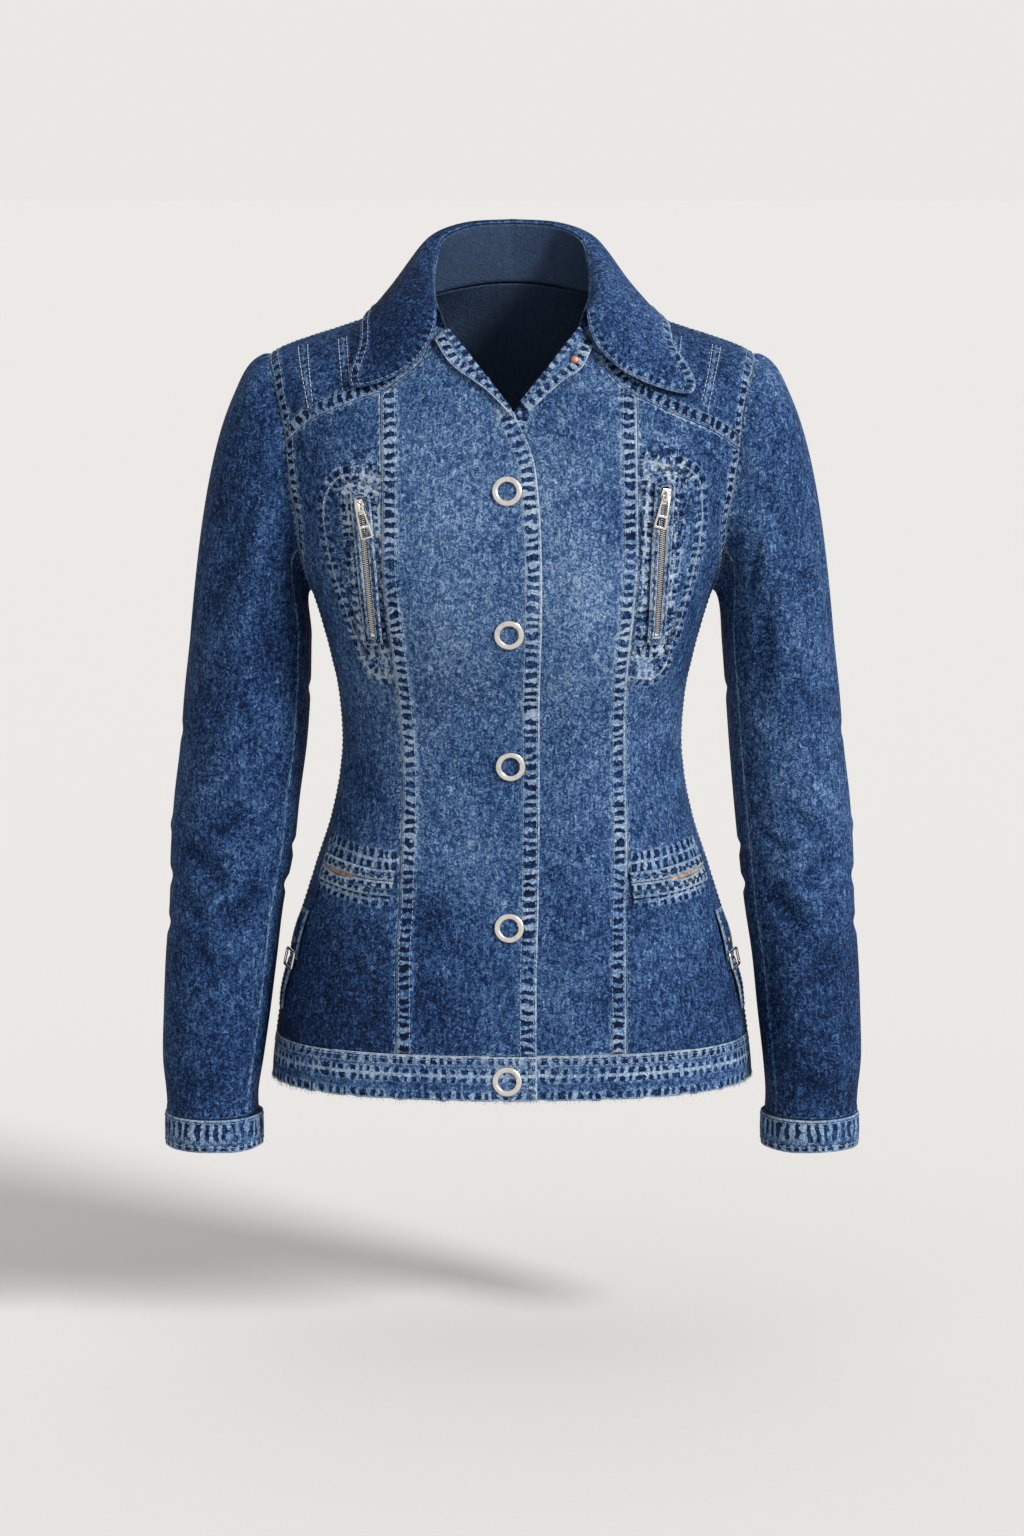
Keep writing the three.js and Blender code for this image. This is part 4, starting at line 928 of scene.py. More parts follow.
UNDERLAP, UNDERLAP_FROM, UNDERLAP_TO = 2.4, 25.0, 46.0
YOKE_PRINCESS_ROW = 3
ROWS, COLS = 14, 7   # fine steps for each step of the CAD's grids


def underlap(points: Array) -> Array:
    """How far the left front lies below where the right front covers it."""
    return -UNDERLAP * (1 - smooth(points[..., 0], UNDERLAP_FROM, UNDERLAP_TO))


class FrontCut:
    """Seam lines of one half of the front, as places on the trunk."""

    def __init__(self, side: Side, rows: int = ROWS, cols: int = COLS) -> None:
        """Works out the lines that all panels of one front share.

        Args:
            side: The wearer's side.
            rows: Number of rows of points.
            cols: Number of columns of points.
        """
        s, yoke = side.value, YOKE_SEAM[side]
        self.side = side
        corner = yoke[YOKE_PRINCESS_ROW]
        arm = Trunk.seen(*yoke[0])
        neck_end, neck_front = (NECK_END[side], NECK_RING), (NECK_FRONT[side], NECK_RING)
        flip = (lambda x: x) if side is Side.RIGHT else (lambda x: 2 * V_POINT[0] - x)
        edge = [(flip(x), z) for x, z in (V_POINT, *FRONT_EDGE)]
        princess = [(row[1 if side is Side.RIGHT else 2], row[0]) for row in PRINCESS]
        underarm, shoulder = (s * 90, UNDERARM), (s * 90, SHOULDER_END)

        def outward(points: Sequence) -> list:
            """Turns lines so that they run from the middle outward."""
            return [tuple(Trunk.seen(s * x, z)) for x, z in points]

        def seen(place: tuple) -> tuple:
            """Where a place is seen from the front."""
            return tuple(Trunk.view(np.array(place)))

        self.yoke_side = Trunk.drawn(yoke[:YOKE_PRINCESS_ROW + 1], 5 * cols)
        self.yoke_centre = Trunk.drawn([*yoke[YOKE_PRINCESS_ROW:], seen(neck_end)], 3 * cols)
        self.neck = Trunk.seam([neck_end, neck_front], cols)
        self.fold = Trunk.drawn([seen(neck_front), V_POINT], 4 * cols)
        self.edge = Trunk.drawn(edge, 16 * rows)
        self.princess = Trunk.drawn([corner, *princess], 16 * rows)
        self.side_seam = Trunk.seam([(s * 90, BAND_TOP), underarm], 10 * rows)
        self.arm_lower = Trunk.seam([underarm, *outward(ARMHOLE_FRONT)[::-1], arm], 6 * rows)
        self.arm_upper = Trunk.seam([arm, *outward(ARMHOLE_YOKE), shoulder], 4 * rows)
        self.shoulder = Trunk.seam([shoulder, (s * 90, NECK_RING)], 8 * cols)
        self.neck_side = Trunk.seam([neck_end, (s * 90, NECK_RING)], 4 * rows)
        self.band = Trunk.drawn([princess[-1], edge[-1]], 8 * cols)

    def centre(self) -> Array:
        """Places of the centre panel, filled in the front view; columns from princess to edge."""
        top = joined(joined(self.yoke_centre, self.neck), self.fold)
        edges = [Trunk.view(e) for e in (self.band, top, self.princess[::-1], self.edge[::-1])]
        flat = fill(*edges)
        return Trunk.seen(flat[..., 0], flat[..., 1])

    def side_panel(self) -> Array:
        """Places of the side panel; columns from side seam to princess seam."""
        outer, inner = joined(self.side_seam, self.arm_lower), self.princess[::-1]
        bottom = Trunk.seam([self.side_seam[0], inner[0]], len(self.yoke_side) - 1)
        return fill(bottom, self.yoke_side, outer, inner)

    def yoke(self) -> Array:
        """Places of the front yoke; columns from armhole to neck."""
        return fill(joined(self.yoke_side, self.yoke_centre), self.shoulder,
                    self.arm_upper, self.neck_side)

    def facing(self) -> Array:
        """Places of the turned-back facing; columns from its fold to its edge.

        Returns:
            Points of the strip.
        """
        top = Trunk.view(self.fold[0])
        rim = curve(FACING_EDGE[self.side], 48)
        share = np.linspace(0, 1, 49)[:, None] * FACING_STOP[self.side]
        fold = top + (np.array(V_POINT) - top) * share
        u = np.linspace(0, 1, 13)[None, :, None]
        flat = fold[:, None] * (1 - u) + rim[:, None] * u
        return Trunk.seen(flat[..., 0], flat[..., 1])


class BackCut:
    """Seam lines of one half of the back."""

    def __init__(self, side: Side, rows: int = ROWS, cols: int = COLS) -> None:
        """Works out the lines that the back panels share.

        Args:
            side: The wearer's side.
            rows: Number of rows of points.
            cols: Number of columns of points.
        """
        def own(places: Array) -> Array:
            """Puts places on this side of the back."""
            return places if side is Side.LEFT else np.stack([360 - places[:, 0], places[:, 1]], 1)

        corner, foot = BACK_PRINCESS[0], BACK_PRINCESS[-1]
        arm_seen = tuple(Trunk.view(np.array(BACK_YOKE_ARM)))
        self.yoke_side = own(Trunk.drawn([arm_seen, corner], 5 * cols, True))
        self.yoke_centre = own(Trunk.drawn([corner, (0, BACK_YOKE_MID)], 4 * cols, True))
        self.princess = own(Trunk.drawn(BACK_PRINCESS, 16 * rows, True))
        self.side_seam = own(Trunk.seam([(90, BAND_TOP), (90, UNDERARM)], 10 * rows))
        lower = [(90, UNDERARM), (104, -212), (118, -178), BACK_YOKE_ARM]
        upper = [BACK_YOKE_ARM, (121, -95), (109, -64), (90, SHOULDER_END)]
        self.arm_lower = own(Trunk.seam(lower, 6 * rows))
        self.arm_upper = own(Trunk.seam(upper, 4 * rows))
        self.shoulder = own(Trunk.seam([(90, SHOULDER_END), (90, NECK_RING)], 8 * cols))
        seen_foot = tuple(Trunk.seen(*foot, True))
        self.band_side = own(Trunk.seam([(90, BAND_TOP), seen_foot], 5 * cols))
        self.band_centre = own(Trunk.drawn([foot, (0, BAND_TOP)], 4 * cols, True))

    def side_panel(self) -> Array:
        """Places of the back side panel; columns from side seam to princess seam."""
        return fill(self.band_side, self.yoke_side,
                    joined(self.side_seam, self.arm_lower), self.princess[::-1])


@dataclass
class Wash:
    """How light the denim is over the jacket, 0 dark to 1 pale: its wash, with painted shade on the sides of the trunk
    and low on the wearer's right, and painted light and shade on the sleeves and the collar.
    """

    body: float = 0.47
    chest: float = 0.17
    chest_x: float = 44.0
    chest_z: float = -205.0
    # painted shade: darker towards the sides, where the trunk turns away
    sides: float = 0.07
    # darker towards the hem; the extra darkness on the wearer's right, away from the key, is painted shade
    hem: float = 0.16
    yoke: float = 0.36
    collar: float = 0.25
    sleeve: float = 0.36
    trim: float = 0.56

    def trunk(self, points: Array) -> Array:
        """Lightness of the body panels: the wash, with painted shade on the sides, where the trunk turns away, and low
        on the wearer's right.

        Args:
            points: Points.

        Returns:
            Lightness, 0 to 1.
        """
        x, y, z = points[..., 0], points[..., 1], points[..., 2]
        chest = np.exp(-((np.abs(x) - self.chest_x) / 50) ** 2 - ((z - self.chest_z) / 130) ** 2)
        # darker towards the hem, most on the wearer's right, where it is painted shade
        low = smooth(-z, 400, 540) * self.hem * (0.4 + 0.9 * smooth(-x, 0, 60))
        patches = 0.05 * wobble(x + 0.6 * z, 3, 60) + 0.04 * wobble(z - 0.4 * x, 8, 45)
        front = np.where(y < 0, 1.0, 0.6)
        # the sides term is painted shade where the trunk turns away
        return (self.body + self.chest * chest * front - self.sides * smooth(np.abs(x), 90, 160)
                - low + patches)

    def upper(self, points: Array) -> Array:
        """Lightness of the yokes."""
        x, z = points[..., 0], points[..., 2]
        return self.yoke + 0.06 * wobble(x + z, 5, 40) - 0.05 * smooth(z, -60, -10)

    def sleeves(self, points: Array) -> Array:
        """Lightness of the sleeves: paler down the front of the upper arm and the elbow, darker low on the left
        forearm, with painted light on the left sleeve and painted shade on the right one.

        Args:
            points: Points.

        Returns:
            Lightness, 0 to 1.
        """
        x, y, z = points[..., 0], points[..., 1], points[..., 2]
        front = smooth(-y, -10, 45)
        # 0.05 * sign(x): painted light on the wearer's left sleeve, which faces the key, and painted shade on the
        #                 right one
        return (self.sleeve + 0.05 * np.sign(x) + 0.08 * front * np.exp(-((z + 400) / 90) ** 2)
                + 0.05 * front * np.exp(-((z + 190) / 70) ** 2)
                - 0.14 * smooth(-z, 400, 520) * (x > 0)
                + 0.045 * wobble(z + 0.8 * np.abs(x), 2, 50))


WASH_AND_SHADE = Wash()


class Body:
    """Front, side and back panels, yokes and turned-back facings."""

    CUTS = {  # flat width and length in metres, share of the rectangle
        "front_centre": (0.125, 0.535, 0.80), "front_side": (0.140, 0.500, 0.70),
        "front_yoke": (0.150, 0.110, 0.69), "back_side": (0.130, 0.440, 0.83),
        "back_centre": (0.186, 0.415, 0.82), "back_yoke": (0.400, 0.162, 0.89),
        "facing": (0.022, 0.066, 0.92),
    }
    ARM_SHARE = 10 / 16      # share of a side panel's outer edge that is side seam

    def __init__(self) -> None:
        """Cuts both fronts and both back halves."""
        self.front = {s: FrontCut(s) for s in Side}
        self.back = {s: BackCut(s) for s in Side}

    def _patch(self, node: str, kind: str, places: Array, slot: Slot, seams: Sequence[Seam],
               lift: Callable[[Array], Array] | None = None, fade: Callable = WASH_AND_SHADE.trunk,
               scuff: Callable | None = None) -> Patch:
        """One panel of the body.

        Args:
            node: CAD node that the piece stands for.
            kind: Kind of the panel, node or cut.
            places: Places.
            slot: Finish slot.
            seams: Seams that the piece carries.
            lift: What moves the panel out, if anything does.
            fade: How light the wash is, with the painted shade of turned-away parts.
            scuff: Where the cloth is rubbed.

        Returns:
            The panel.
        """
        points = Trunk.place(places[..., 0], places[..., 1], fine=True)
        normals = Trunk.normal(places[..., 0], places[..., 1])
        # creases: ridges paled as wear, troughs darkened as painted shade
        ridge_wear_trough_shade = crease_wear(crease_rise(TRUNK_CREASES + TRUNK_FINE, places[..., 0], points[..., 2],
                                       TRUNK_RADIUS))
        if lift is not None:
            points = points + normals * lift(points)[..., None]
        rubbed = scuff(points) if scuff else 0.0
        points = points + normals * np.asarray(
            rubbed * 0.55 * wobble(points[..., 2] + 0.5 * points[..., 0], 9, 7))[..., None]
        wide, long, share = self.CUTS[kind]
        return Patch(f"cloth_{node}", node, drawn_in(points), normals, slot, (wide, long), share,
                     seams, fade(points) + ridge_wear_trough_shade, scuff=rubbed)

    def patches(self) -> list[Patch]:
        """All panels of the body.

        Returns:
            The panels.
        """
        made = []
        for side, cut in self.front.items():
            w = side.word
            lift = underlap if side is Side.LEFT else None
            made += [
                self._patch(f"front_{w}_centre", "front_centre", cut.centre(), Slot.BODY, [
                    Seam("start"), Seam("end", band=12.5, rows=(2.2, 12.0)),
                    Seam("top", (0, 0.4), band=2.0, strength=0.5, rows=()),
                    Seam("bottom", band=2.0, strength=0.4, rows=()),
                ], lift),
                self._patch(f"front_{w}_side", "front_side", cut.side_panel(), Slot.BODY, [
                    Seam("end", band=1.2, strength=0.6, rows=()),
                    Seam("start", (self.ARM_SHARE, 1), band=9.5, rows=(1.9, 8.0)),
                    Seam("start", (0, self.ARM_SHARE), band=7, strength=0.6, rows=(1.9,)),
                    Seam("top", band=1.2, strength=0.6, rows=()),
                    *ChestPocket(side).seams(),
                    *WaistPocket(side).seams(),
                ], scuff=ChestPocket(side).rubbed),
                self._patch(f"front_yoke_{w}", "front_yoke", cut.yoke(), Slot.DARK, [
                    Seam("bottom", band=10.5, rows=(1.9, 9.0)),
                    Seam("start", band=9.5, rows=(1.9, 8.0)),
                    Seam("top", band=7, strength=0.6, rows=(1.9,)), *Tucks.seams(side),
                ], fade=WASH_AND_SHADE.upper),
                self._patch(f"back_{w}_side", "back_side", self.back[side].side_panel(),
                            Slot.BODY, [
                    Seam("end", band=1.2, strength=0.6, rows=()),
                    Seam("start", (self.ARM_SHARE, 1), band=9.5, rows=(1.9, 8.0)),
                    Seam("start", (0, self.ARM_SHARE), band=1.2, strength=0.5, rows=()),
                    Seam("top", band=1.2, strength=0.6, rows=()),
                ]),
                self._facing(side, cut),
            ]
        left, right = self.back[Side.LEFT], self.back[Side.RIGHT]

        def across(key: str) -> Array:
            """A line of the back, right half first."""
            return joined(getattr(left, key), getattr(right, key)[::-1])

        centre = fill(across("band_centre"), across("yoke_centre"),
                      left.princess[::-1], right.princess[::-1])
        made.append(self._patch("back_centre", "back_centre", centre, Slot.BODY, [
            Seam("start"), Seam("end"), Seam("top", band=1.2, strength=0.6, rows=())]))
        sides = [joined(b.yoke_side, b.yoke_centre) for b in (left, right)]
        edges = [joined(b.arm_upper, b.shoulder) for b in (left, right)]
        neck = Trunk.seam([(90, NECK_RING), (270, NECK_RING)], 18 * COLS)
        yoke = fill(joined(sides[0], sides[1][::-1]), neck, *edges)
        arm = 4 * ROWS / (4 * ROWS + 8 * COLS)
        made.append(self._patch("back_yoke", "back_yoke", yoke, Slot.DARK, [
            Seam("bottom", band=10.5, rows=(1.9, 9.0)),
            Seam("start", (0, arm), band=9.5, rows=(1.9, 8.0)),
            Seam("end", (0, arm), band=9.5, rows=(1.9, 8.0)),
            Seam("start", (arm, 1), band=1.2, strength=0.5, rows=()),
            Seam("end", (arm, 1), band=1.2, strength=0.5, rows=()),
        ], fade=WASH_AND_SHADE.upper))
        return made

    def _facing(self, side: Side, cut: FrontCut) -> Patch:
        """The front edge turned back, with its rounded fold.

        Args:
            side: The wearer's side.
            cut: Lines of the front that it belongs to.

        Returns:
            The facing.
        """
        places = cut.facing()
        points = Trunk.place(places[..., 0], places[..., 1])
        normals = Trunk.normal(places[..., 0], places[..., 1])
        u = np.linspace(0, 1, places.shape[1])[None, :]
        lift = LAY + CLOTH + 1.2 * u + 0.3
        lift = lift + (underlap(points) if side is Side.LEFT else 0)
        points = points + normals * lift[..., None]
        way = unit(points[:, 0] - points[:, 2])
        turn = np.radians(np.linspace(170, 20, 6))[:, None, None]
        half = 1.25
        centre = points[:, 0] - normals[:, 0] * half
        roll = centre + half * (normals[:, 0] * np.cos(turn) + way * np.sin(turn))
        points = np.concatenate([roll.swapaxes(0, 1), points], 1)
        out = unit(normals[:, 0] * np.cos(turn) + way * np.sin(turn)).swapaxes(0, 1)
        normals = np.concatenate([out, normals], 1)
        node = f"front_facing_{side.word}"
        wide, long, share = self.CUTS["facing"]
        fade = np.full(points.shape[:2], 0.5) + 0.05 * wobble(points[..., 2], 4, 9)
        return Patch(f"cloth_{node}", node, points, normals, Slot.WORN, (wide, long), share, [
            Seam("end", band=9.0, rows=(2.0, 8.0)), Seam("start", band=5, strength=0.8, rows=()),
        ], fade, thickness=0.9, held="folded")


# ---- sleeves, cuffs

SLEEVE = Table("z outer right left y depth", [
    (-615, 259.5, 191, 190.5, -20, 36), (-600, 260.5, 191, 191, -18, 37),
    (-575, 263, 187, 189, -15, 41), (-540, 262.5, 182, 185, -9, 43),
    (-500, 261, 177, 181, -3, 45), (-460, 258, 172, 175, 2, 46),
    (-420, 257, 164, 170.5, 6, 47), (-380, 254, 159.5, 166.5, 8, 49),
    (-340, 249, 154, 163, 9, 52), (-300, 245.5, 151, 160, 9, 55), (-262, 241, 150, 157, 8, 57),
])


@dataclass
class Sleeve:
    """A two-piece sleeve set into the armhole, and its cuff."""

    side: Side
    ring: int = 20
    front_seam: int = 8
    back_seam: int = 13
    head_out: float = 0.58
    head_drop: float = 0.13
    head_puff: float = 0.12
    head_lean: float = 0.09
    radius: float = 48.0
    cuff_inner: float = 187.0
    cuff_outer: float = 261.5
    cuff_y: float = -21.0
    cuff_depth: float = 38.0

    UPPER = (0.300, 0.585, 0.67)
    UNDER = (0.085, 0.430, 0.84)
    CUFF = (0.232, 0.025)

    def __post_init__(self) -> None:
        """Works out the sleeve's lines."""
        front, back = FrontCut(self.side, 1, 1), BackCut(self.side, 1, 1)
        places = np.concatenate([joined(front.arm_lower, front.arm_upper)[::-1],
                                 joined(back.arm_lower, back.arm_upper)[1:-1]])
        self.hole = Trunk.place(places[:, 0], places[:, 1])

    def _tube(self, step: Array, z: Array) -> Array:
        """Points round the plain tube of the arm.

        Args:
            step: Angle round the sleeve, as a step of its table.
            z: Height.

        Returns:
            Points.
        """
        turn = step / self.ring * 2 * math.pi
        outer, inner = SLEEVE.at("outer", z), SLEEVE.at(self.side.word, z)
        middle, half = (outer + inner) / 2, (outer - inner) / 2
        return np.stack([self.side.value * (middle + half * np.cos(turn)),
                         SLEEVE.at("y", z) - SLEEVE.at("depth", z) * np.sin(turn),
                         z + 0 * step], -1)

    def surface(self, step: Array, t: Array) -> Array:
        """Points of the sleeve: step round the ring, t 0 at the armhole to 2 at the wrist.

        Args:
            step: Angle round the sleeve, as a step of its table.
            t: Share of the way, 0 to 1.

        Returns:
            Points.
        """
        step, t = np.broadcast_arrays(np.mod(np.asarray(step, float), self.ring),
                                      np.asarray(t, float))
        low = self._tube(step, BICEP + (CUFF_TOP + 0.2 - BICEP) * np.maximum(t - 1, 0))
        k = np.floor(step).astype(int)
        start = segment(self.hole, k, step - k, True)
        end = self._tube(step, np.full(step.shape, BICEP))
        reach = np.linalg.norm(start - end, axis=-1, keepdims=True)
        s = self.side.value
        out = np.stack([np.full(step.shape, s * self.head_out),
                        -self.head_puff * np.sin(step / self.ring * 2 * math.pi),
                        np.full(step.shape, -self.head_drop)], -1) * reach
        down = np.array([s * self.head_lean, 0, -1.0]) * reach
        q = np.minimum(t, 1)[..., None]
        head = (start * (2 * q**3 - 3 * q**2 + 1) + out * (q**3 - 2 * q**2 + q)
                + end * (3 * q**2 - 2 * q**3) + down * (q**3 - q**2))
        return np.where((t >= 1)[..., None], low, head)

    def _piece(self, node: str, first: int, last: int, cut: tuple, seams: Sequence[Seam]) -> Patch:
        """One of the two pieces of the sleeve.

        Args:
            node: CAD node that the piece stands for.
            first: First row or angle.
            last: Last row or angle.
            cut: Flat width and length, in metres.
            seams: Seams that the piece carries.

        Returns:
            The piece.
        """
        t = np.concatenate([np.linspace(0, 1, 56), 1 + np.linspace(0, 1, 141)[1:]])[:, None]
        step = np.linspace(first, last, (last - first) * 5 + 1)[None, :]
        points = self.surface(step, t)
        at = np.clip(t, 0.02, 1.99)
        along = self.surface(step + 0.1, at) - self.surface(step - 0.1, at)
        down = self.surface(step, at + 0.01) - self.surface(step, at - 0.01)
        normals = unit(np.cross(along, down)) * self.side.value
        angle = np.mod(step, self.ring) * (360 / self.ring)
        z = points[..., 2]
        rise = crease_rise(SLEEVE_CREASES + SLEEVE_FINE, angle + 0 * z, z, self.radius)
        rise = 1.35 * rise * smooth(t, 0, 0.4)
        gather = 0.9 * np.sin(step * 5.2 + 0.8 * np.sin(step * 2.2)) * bump(t - 0.09, 0.22)
        puff = 1.6 * bump(t - 0.1, 0.16)
        rise = rise + (gather + puff) * (np.cos(np.radians(angle)) > 0.1) * smooth(t, 0, 0.03)
        points = points + normals * rise[..., None]
        # the creases' troughs are darkened as painted shade, their ridges paled as wear
        return Patch(f"cloth_{node}", node, drawn_in(points), normals, Slot.DARK, cut[:2], cut[2],
                     seams, WASH_AND_SHADE.sleeves(points) + crease_wear(rise))

    def patches(self) -> list[Patch]:
        """The upper and under sleeve and the cuff.

        Returns:
            The pieces.
        """
        w = self.side.word
        fell = [Seam("start", band=2.2, strength=0.35, rows=()),
                Seam("end", band=2.2, strength=0.35, rows=()),
                Seam("bottom", band=1.4, strength=0.7, rows=()),
                Seam("top", band=4.0, strength=0.45, rows=())]
        plain = [Seam("start", band=1.2, strength=0.5, rows=()),
                 Seam("end", band=1.2, strength=0.5, rows=())]
        return [
            self._piece(f"sleeve_upper_{w}", self.back_seam - self.ring, self.front_seam,
                        self.UPPER, fell),
            self._piece(f"sleeve_under_{w}", self.front_seam, self.back_seam, self.UNDER, plain),
            self._cuff(),
        ]

    def _cuff(self) -> Patch:
        """A ring of double cloth, roped from its top seam to its worn edge.

        Returns:
            The cuff.
        """
        s = self.side.value
        turn = np.linspace(0, 2 * math.pi, 151)[None, :-1]
        z = np.linspace(CUFF_BOTTOM, CUFF_TOP - LAY, 15)[:, None]
        up = (z - CUFF_BOTTOM) / (CUFF_TOP - LAY - CUFF_BOTTOM)
        girth = 0.5 * np.sin(up * math.pi) - 0.5 + 0.35 * wobble(turn * 37, 3 + s, 14)
        half = (self.cuff_outer - self.cuff_inner) / 2
        middle = s * (self.cuff_inner + self.cuff_outer) / 2
        points = np.stack([middle + (half + girth) * np.cos(turn),
                           self.cuff_y + (self.cuff_depth + girth) * np.sin(turn),
                           z + 0.5 * wobble(turn * 37, 5 - s, 30) * (1 - up)], -1)
        normals = np.stack([np.cos(turn), np.sin(turn), 0 * turn], -1) + np.zeros(points.shape)
        node = f"cuff_{self.side.word}"
        return Patch(f"cloth_{node}", node, points, normals, Slot.WORN, self.CUFF, 1.0, [
            Seam("top", band=17, strength=0.85, rows=(2.6,), ply=False),
            Seam("bottom", band=6, strength=1.0, rows=(4.0,), ply=False),
        ], WASH_AND_SHADE.trim - 0.08, thickness=BAND_CLOTH, ring=True)


# ---- collar, hem

COLLAR = Table("at rollX rollY rollZ kneeX kneeY kneeZ brimX brimY brimZ "
               "edgeAngle edgeSide lift footAngle tip", [
    (0, 54, -52, -12, 52, -76, -26, 60, -88, -62, 40.5, -44, 5, 37, 1),
    (1, 56, -36, -3, 62, -62, 4, 84, -76, -40, 54, -29.5, 5, 48, 0.4),
    (2, 56, -14, 10, 68, -26, 24, 92, -42, -12, 72, -24, 4.5, 70, 0.2),
    (3, 55, 4, 20, 63, 6, 40, 88, 10, 4, 94, -22, 4, 92, 0),
    (4, 50, 26, 36, 62, 36, 52, 78, 54, 8, 122, -21, 4, 122, 0),
    (5, 30, 48, 45, 38, 62, 58, 46, 78, 16, 150, -21, 4, 152, 0),
    (6, 0, 57, 47, 0, 72, 60, 0, 86, 18, 180, -22, 4, 180, 0),
])


@dataclass
class Collar:
    """The turned-down collar: its fall with two points, and its stand."""

    tip_turn: float = 3.0        # the left point lies a little further out
    tip_drop: float = -6.5
    roll_out: float = 1.2
    stand_gap: float = 1.0
    neck_shift: float = 5.0
    stations: int = 96
    fall_rows: int = 44
    stand_rows: int = 16

    FALL = (0.420, 0.092, 0.84)
    STAND = (0.330, 0.045, 0.76)

    def __post_init__(self) -> None:
        """Works out the collar's lines."""
        half = np.linspace(0, 6, self.stations + 1)
        self.at = np.concatenate([half, half[::-1][1:]])
        self.side = np.concatenate([-np.ones(len(half)), np.ones(len(half) - 1)])

    def _place(self, key: str) -> Array:
        """A smooth line of the collar by name."""
        x, y, z = (COLLAR.at(key + axis, self.at) for axis in "XYZ")
        return np.stack([self.side * x, y, z], -1)

    def patches(self) -> list[Patch]:
        """The fall and the stand."""
        return [self._fall(), self._stand()]

    def _fall(self) -> Patch:
        """The turned-down part of the collar.

        Returns:
            The piece.
        """
        left = (self.side > 0) * COLLAR.at("tip", self.at)
        angle = COLLAR.at("edgeAngle", self.at) + left * self.tip_turn
        height = COLLAR.at("edgeSide", self.at) + left * self.tip_drop
        edge = Trunk.place(self.side * angle, height, COLLAR.at("lift", self.at))
        roll = self._place("roll")
        out = unit(roll * (1, 1, 0) + (0, self.neck_shift, 0))
        start = roll + out * self.roll_out
        t = np.linspace(0, 1, self.fall_rows + 1)[:, None, None]
        points = ((1 - t) ** 3 * start + 3 * (1 - t) ** 2 * t * self._place("knee")
                  + 3 * (1 - t) * t**2 * self._place("brim") + t**3 * edge)
        points = self._round_tips(points)
        normals = grid_normals(points)
        mid = np.array([0, 0, NECK_RING])
        outward = np.sum(normals * (points - mid), -1).mean() > 0
        normals = normals if outward else -normals
        run = np.linspace(0, 1, points.shape[1])[None, :]
        wave = 0.8 * wobble(run * 420, 4, 60) * smooth(t[..., 0], 0.35, 0.9)
        points = points + normals * wave[..., None]
        wide, long, share = self.FALL
        x, z = points[..., 0], points[..., 2]
        # the wearer's left half is made paler as painted light, the right half left darker as painted shade, away from
        # the key
        fade = WASH_AND_SHADE.collar - 0.03 + 0.06 * wobble(x + z, 6, 35) + 0.16 * smooth(x, 20, 60)
        return Patch("cloth_collar_fall", "collar_fall", drawn_in(points), normals, Slot.DARK,
                     (wide, long), share, [
                         Seam("top", band=8.0, strength=0.7, rows=(2.0, 7.0)),
                         Seam("start", (0.12, 1), band=7.0, strength=0.6, rows=(2.0,)),
                         Seam("end", (0.12, 1), band=7.0, strength=0.6, rows=(2.0,)),
                         Seam("bottom", band=1.2, strength=0.4, rows=()),
                     ], fade, thickness=COLLAR_CLOTH, held="folded")

    @staticmethod
    def _round_tips(points: Array) -> Array:
        """Wears the two points round by drawing their corners in.

        Args:
            points: Points.

        Returns:
            The moved points.
        """
        rows, cols = points.shape[:2]
        v = np.linspace(0, 1, rows)[:, None, None]
        for sign in (1, -1):
            view = points[:, ::sign]
            u = np.arange(cols)[None, :, None] / 6.0
            corner = np.clip(1 - u, 0, 1) * np.clip((v - 0.92) / 0.08, 0, 1)
            inner = view[round(rows * 0.92), 6]
            view += (inner - view) * 0.12 * corner**2
        return points

    def _stand(self) -> Patch:
        """The standing part of the collar.

        Returns:
            The piece.
        """
        foot = Trunk.place(self.side * COLLAR.at("footAngle", self.at),
                           np.full(len(self.at), NECK_RING))
        roll = self._place("roll")
        way = unit(roll - foot)
        foot, roll = foot + way * self.stand_gap, roll - way * self.stand_gap
        t = np.linspace(0, 1, self.stand_rows + 1)[:, None, None]
        points = foot * (1 - t) + roll * t
        normals = grid_normals(points)
        if np.sum(normals * (points * (1, 1, 0)), -1).mean() < 0:
            normals = -normals
        wide, long, share = self.STAND
        return Patch("cloth_collar_stand", "collar_stand", points, normals, Slot.DARK,
                     (wide, long), share, [Seam("top", band=3, strength=0.4, rows=())],
                     0.27, held="folded")


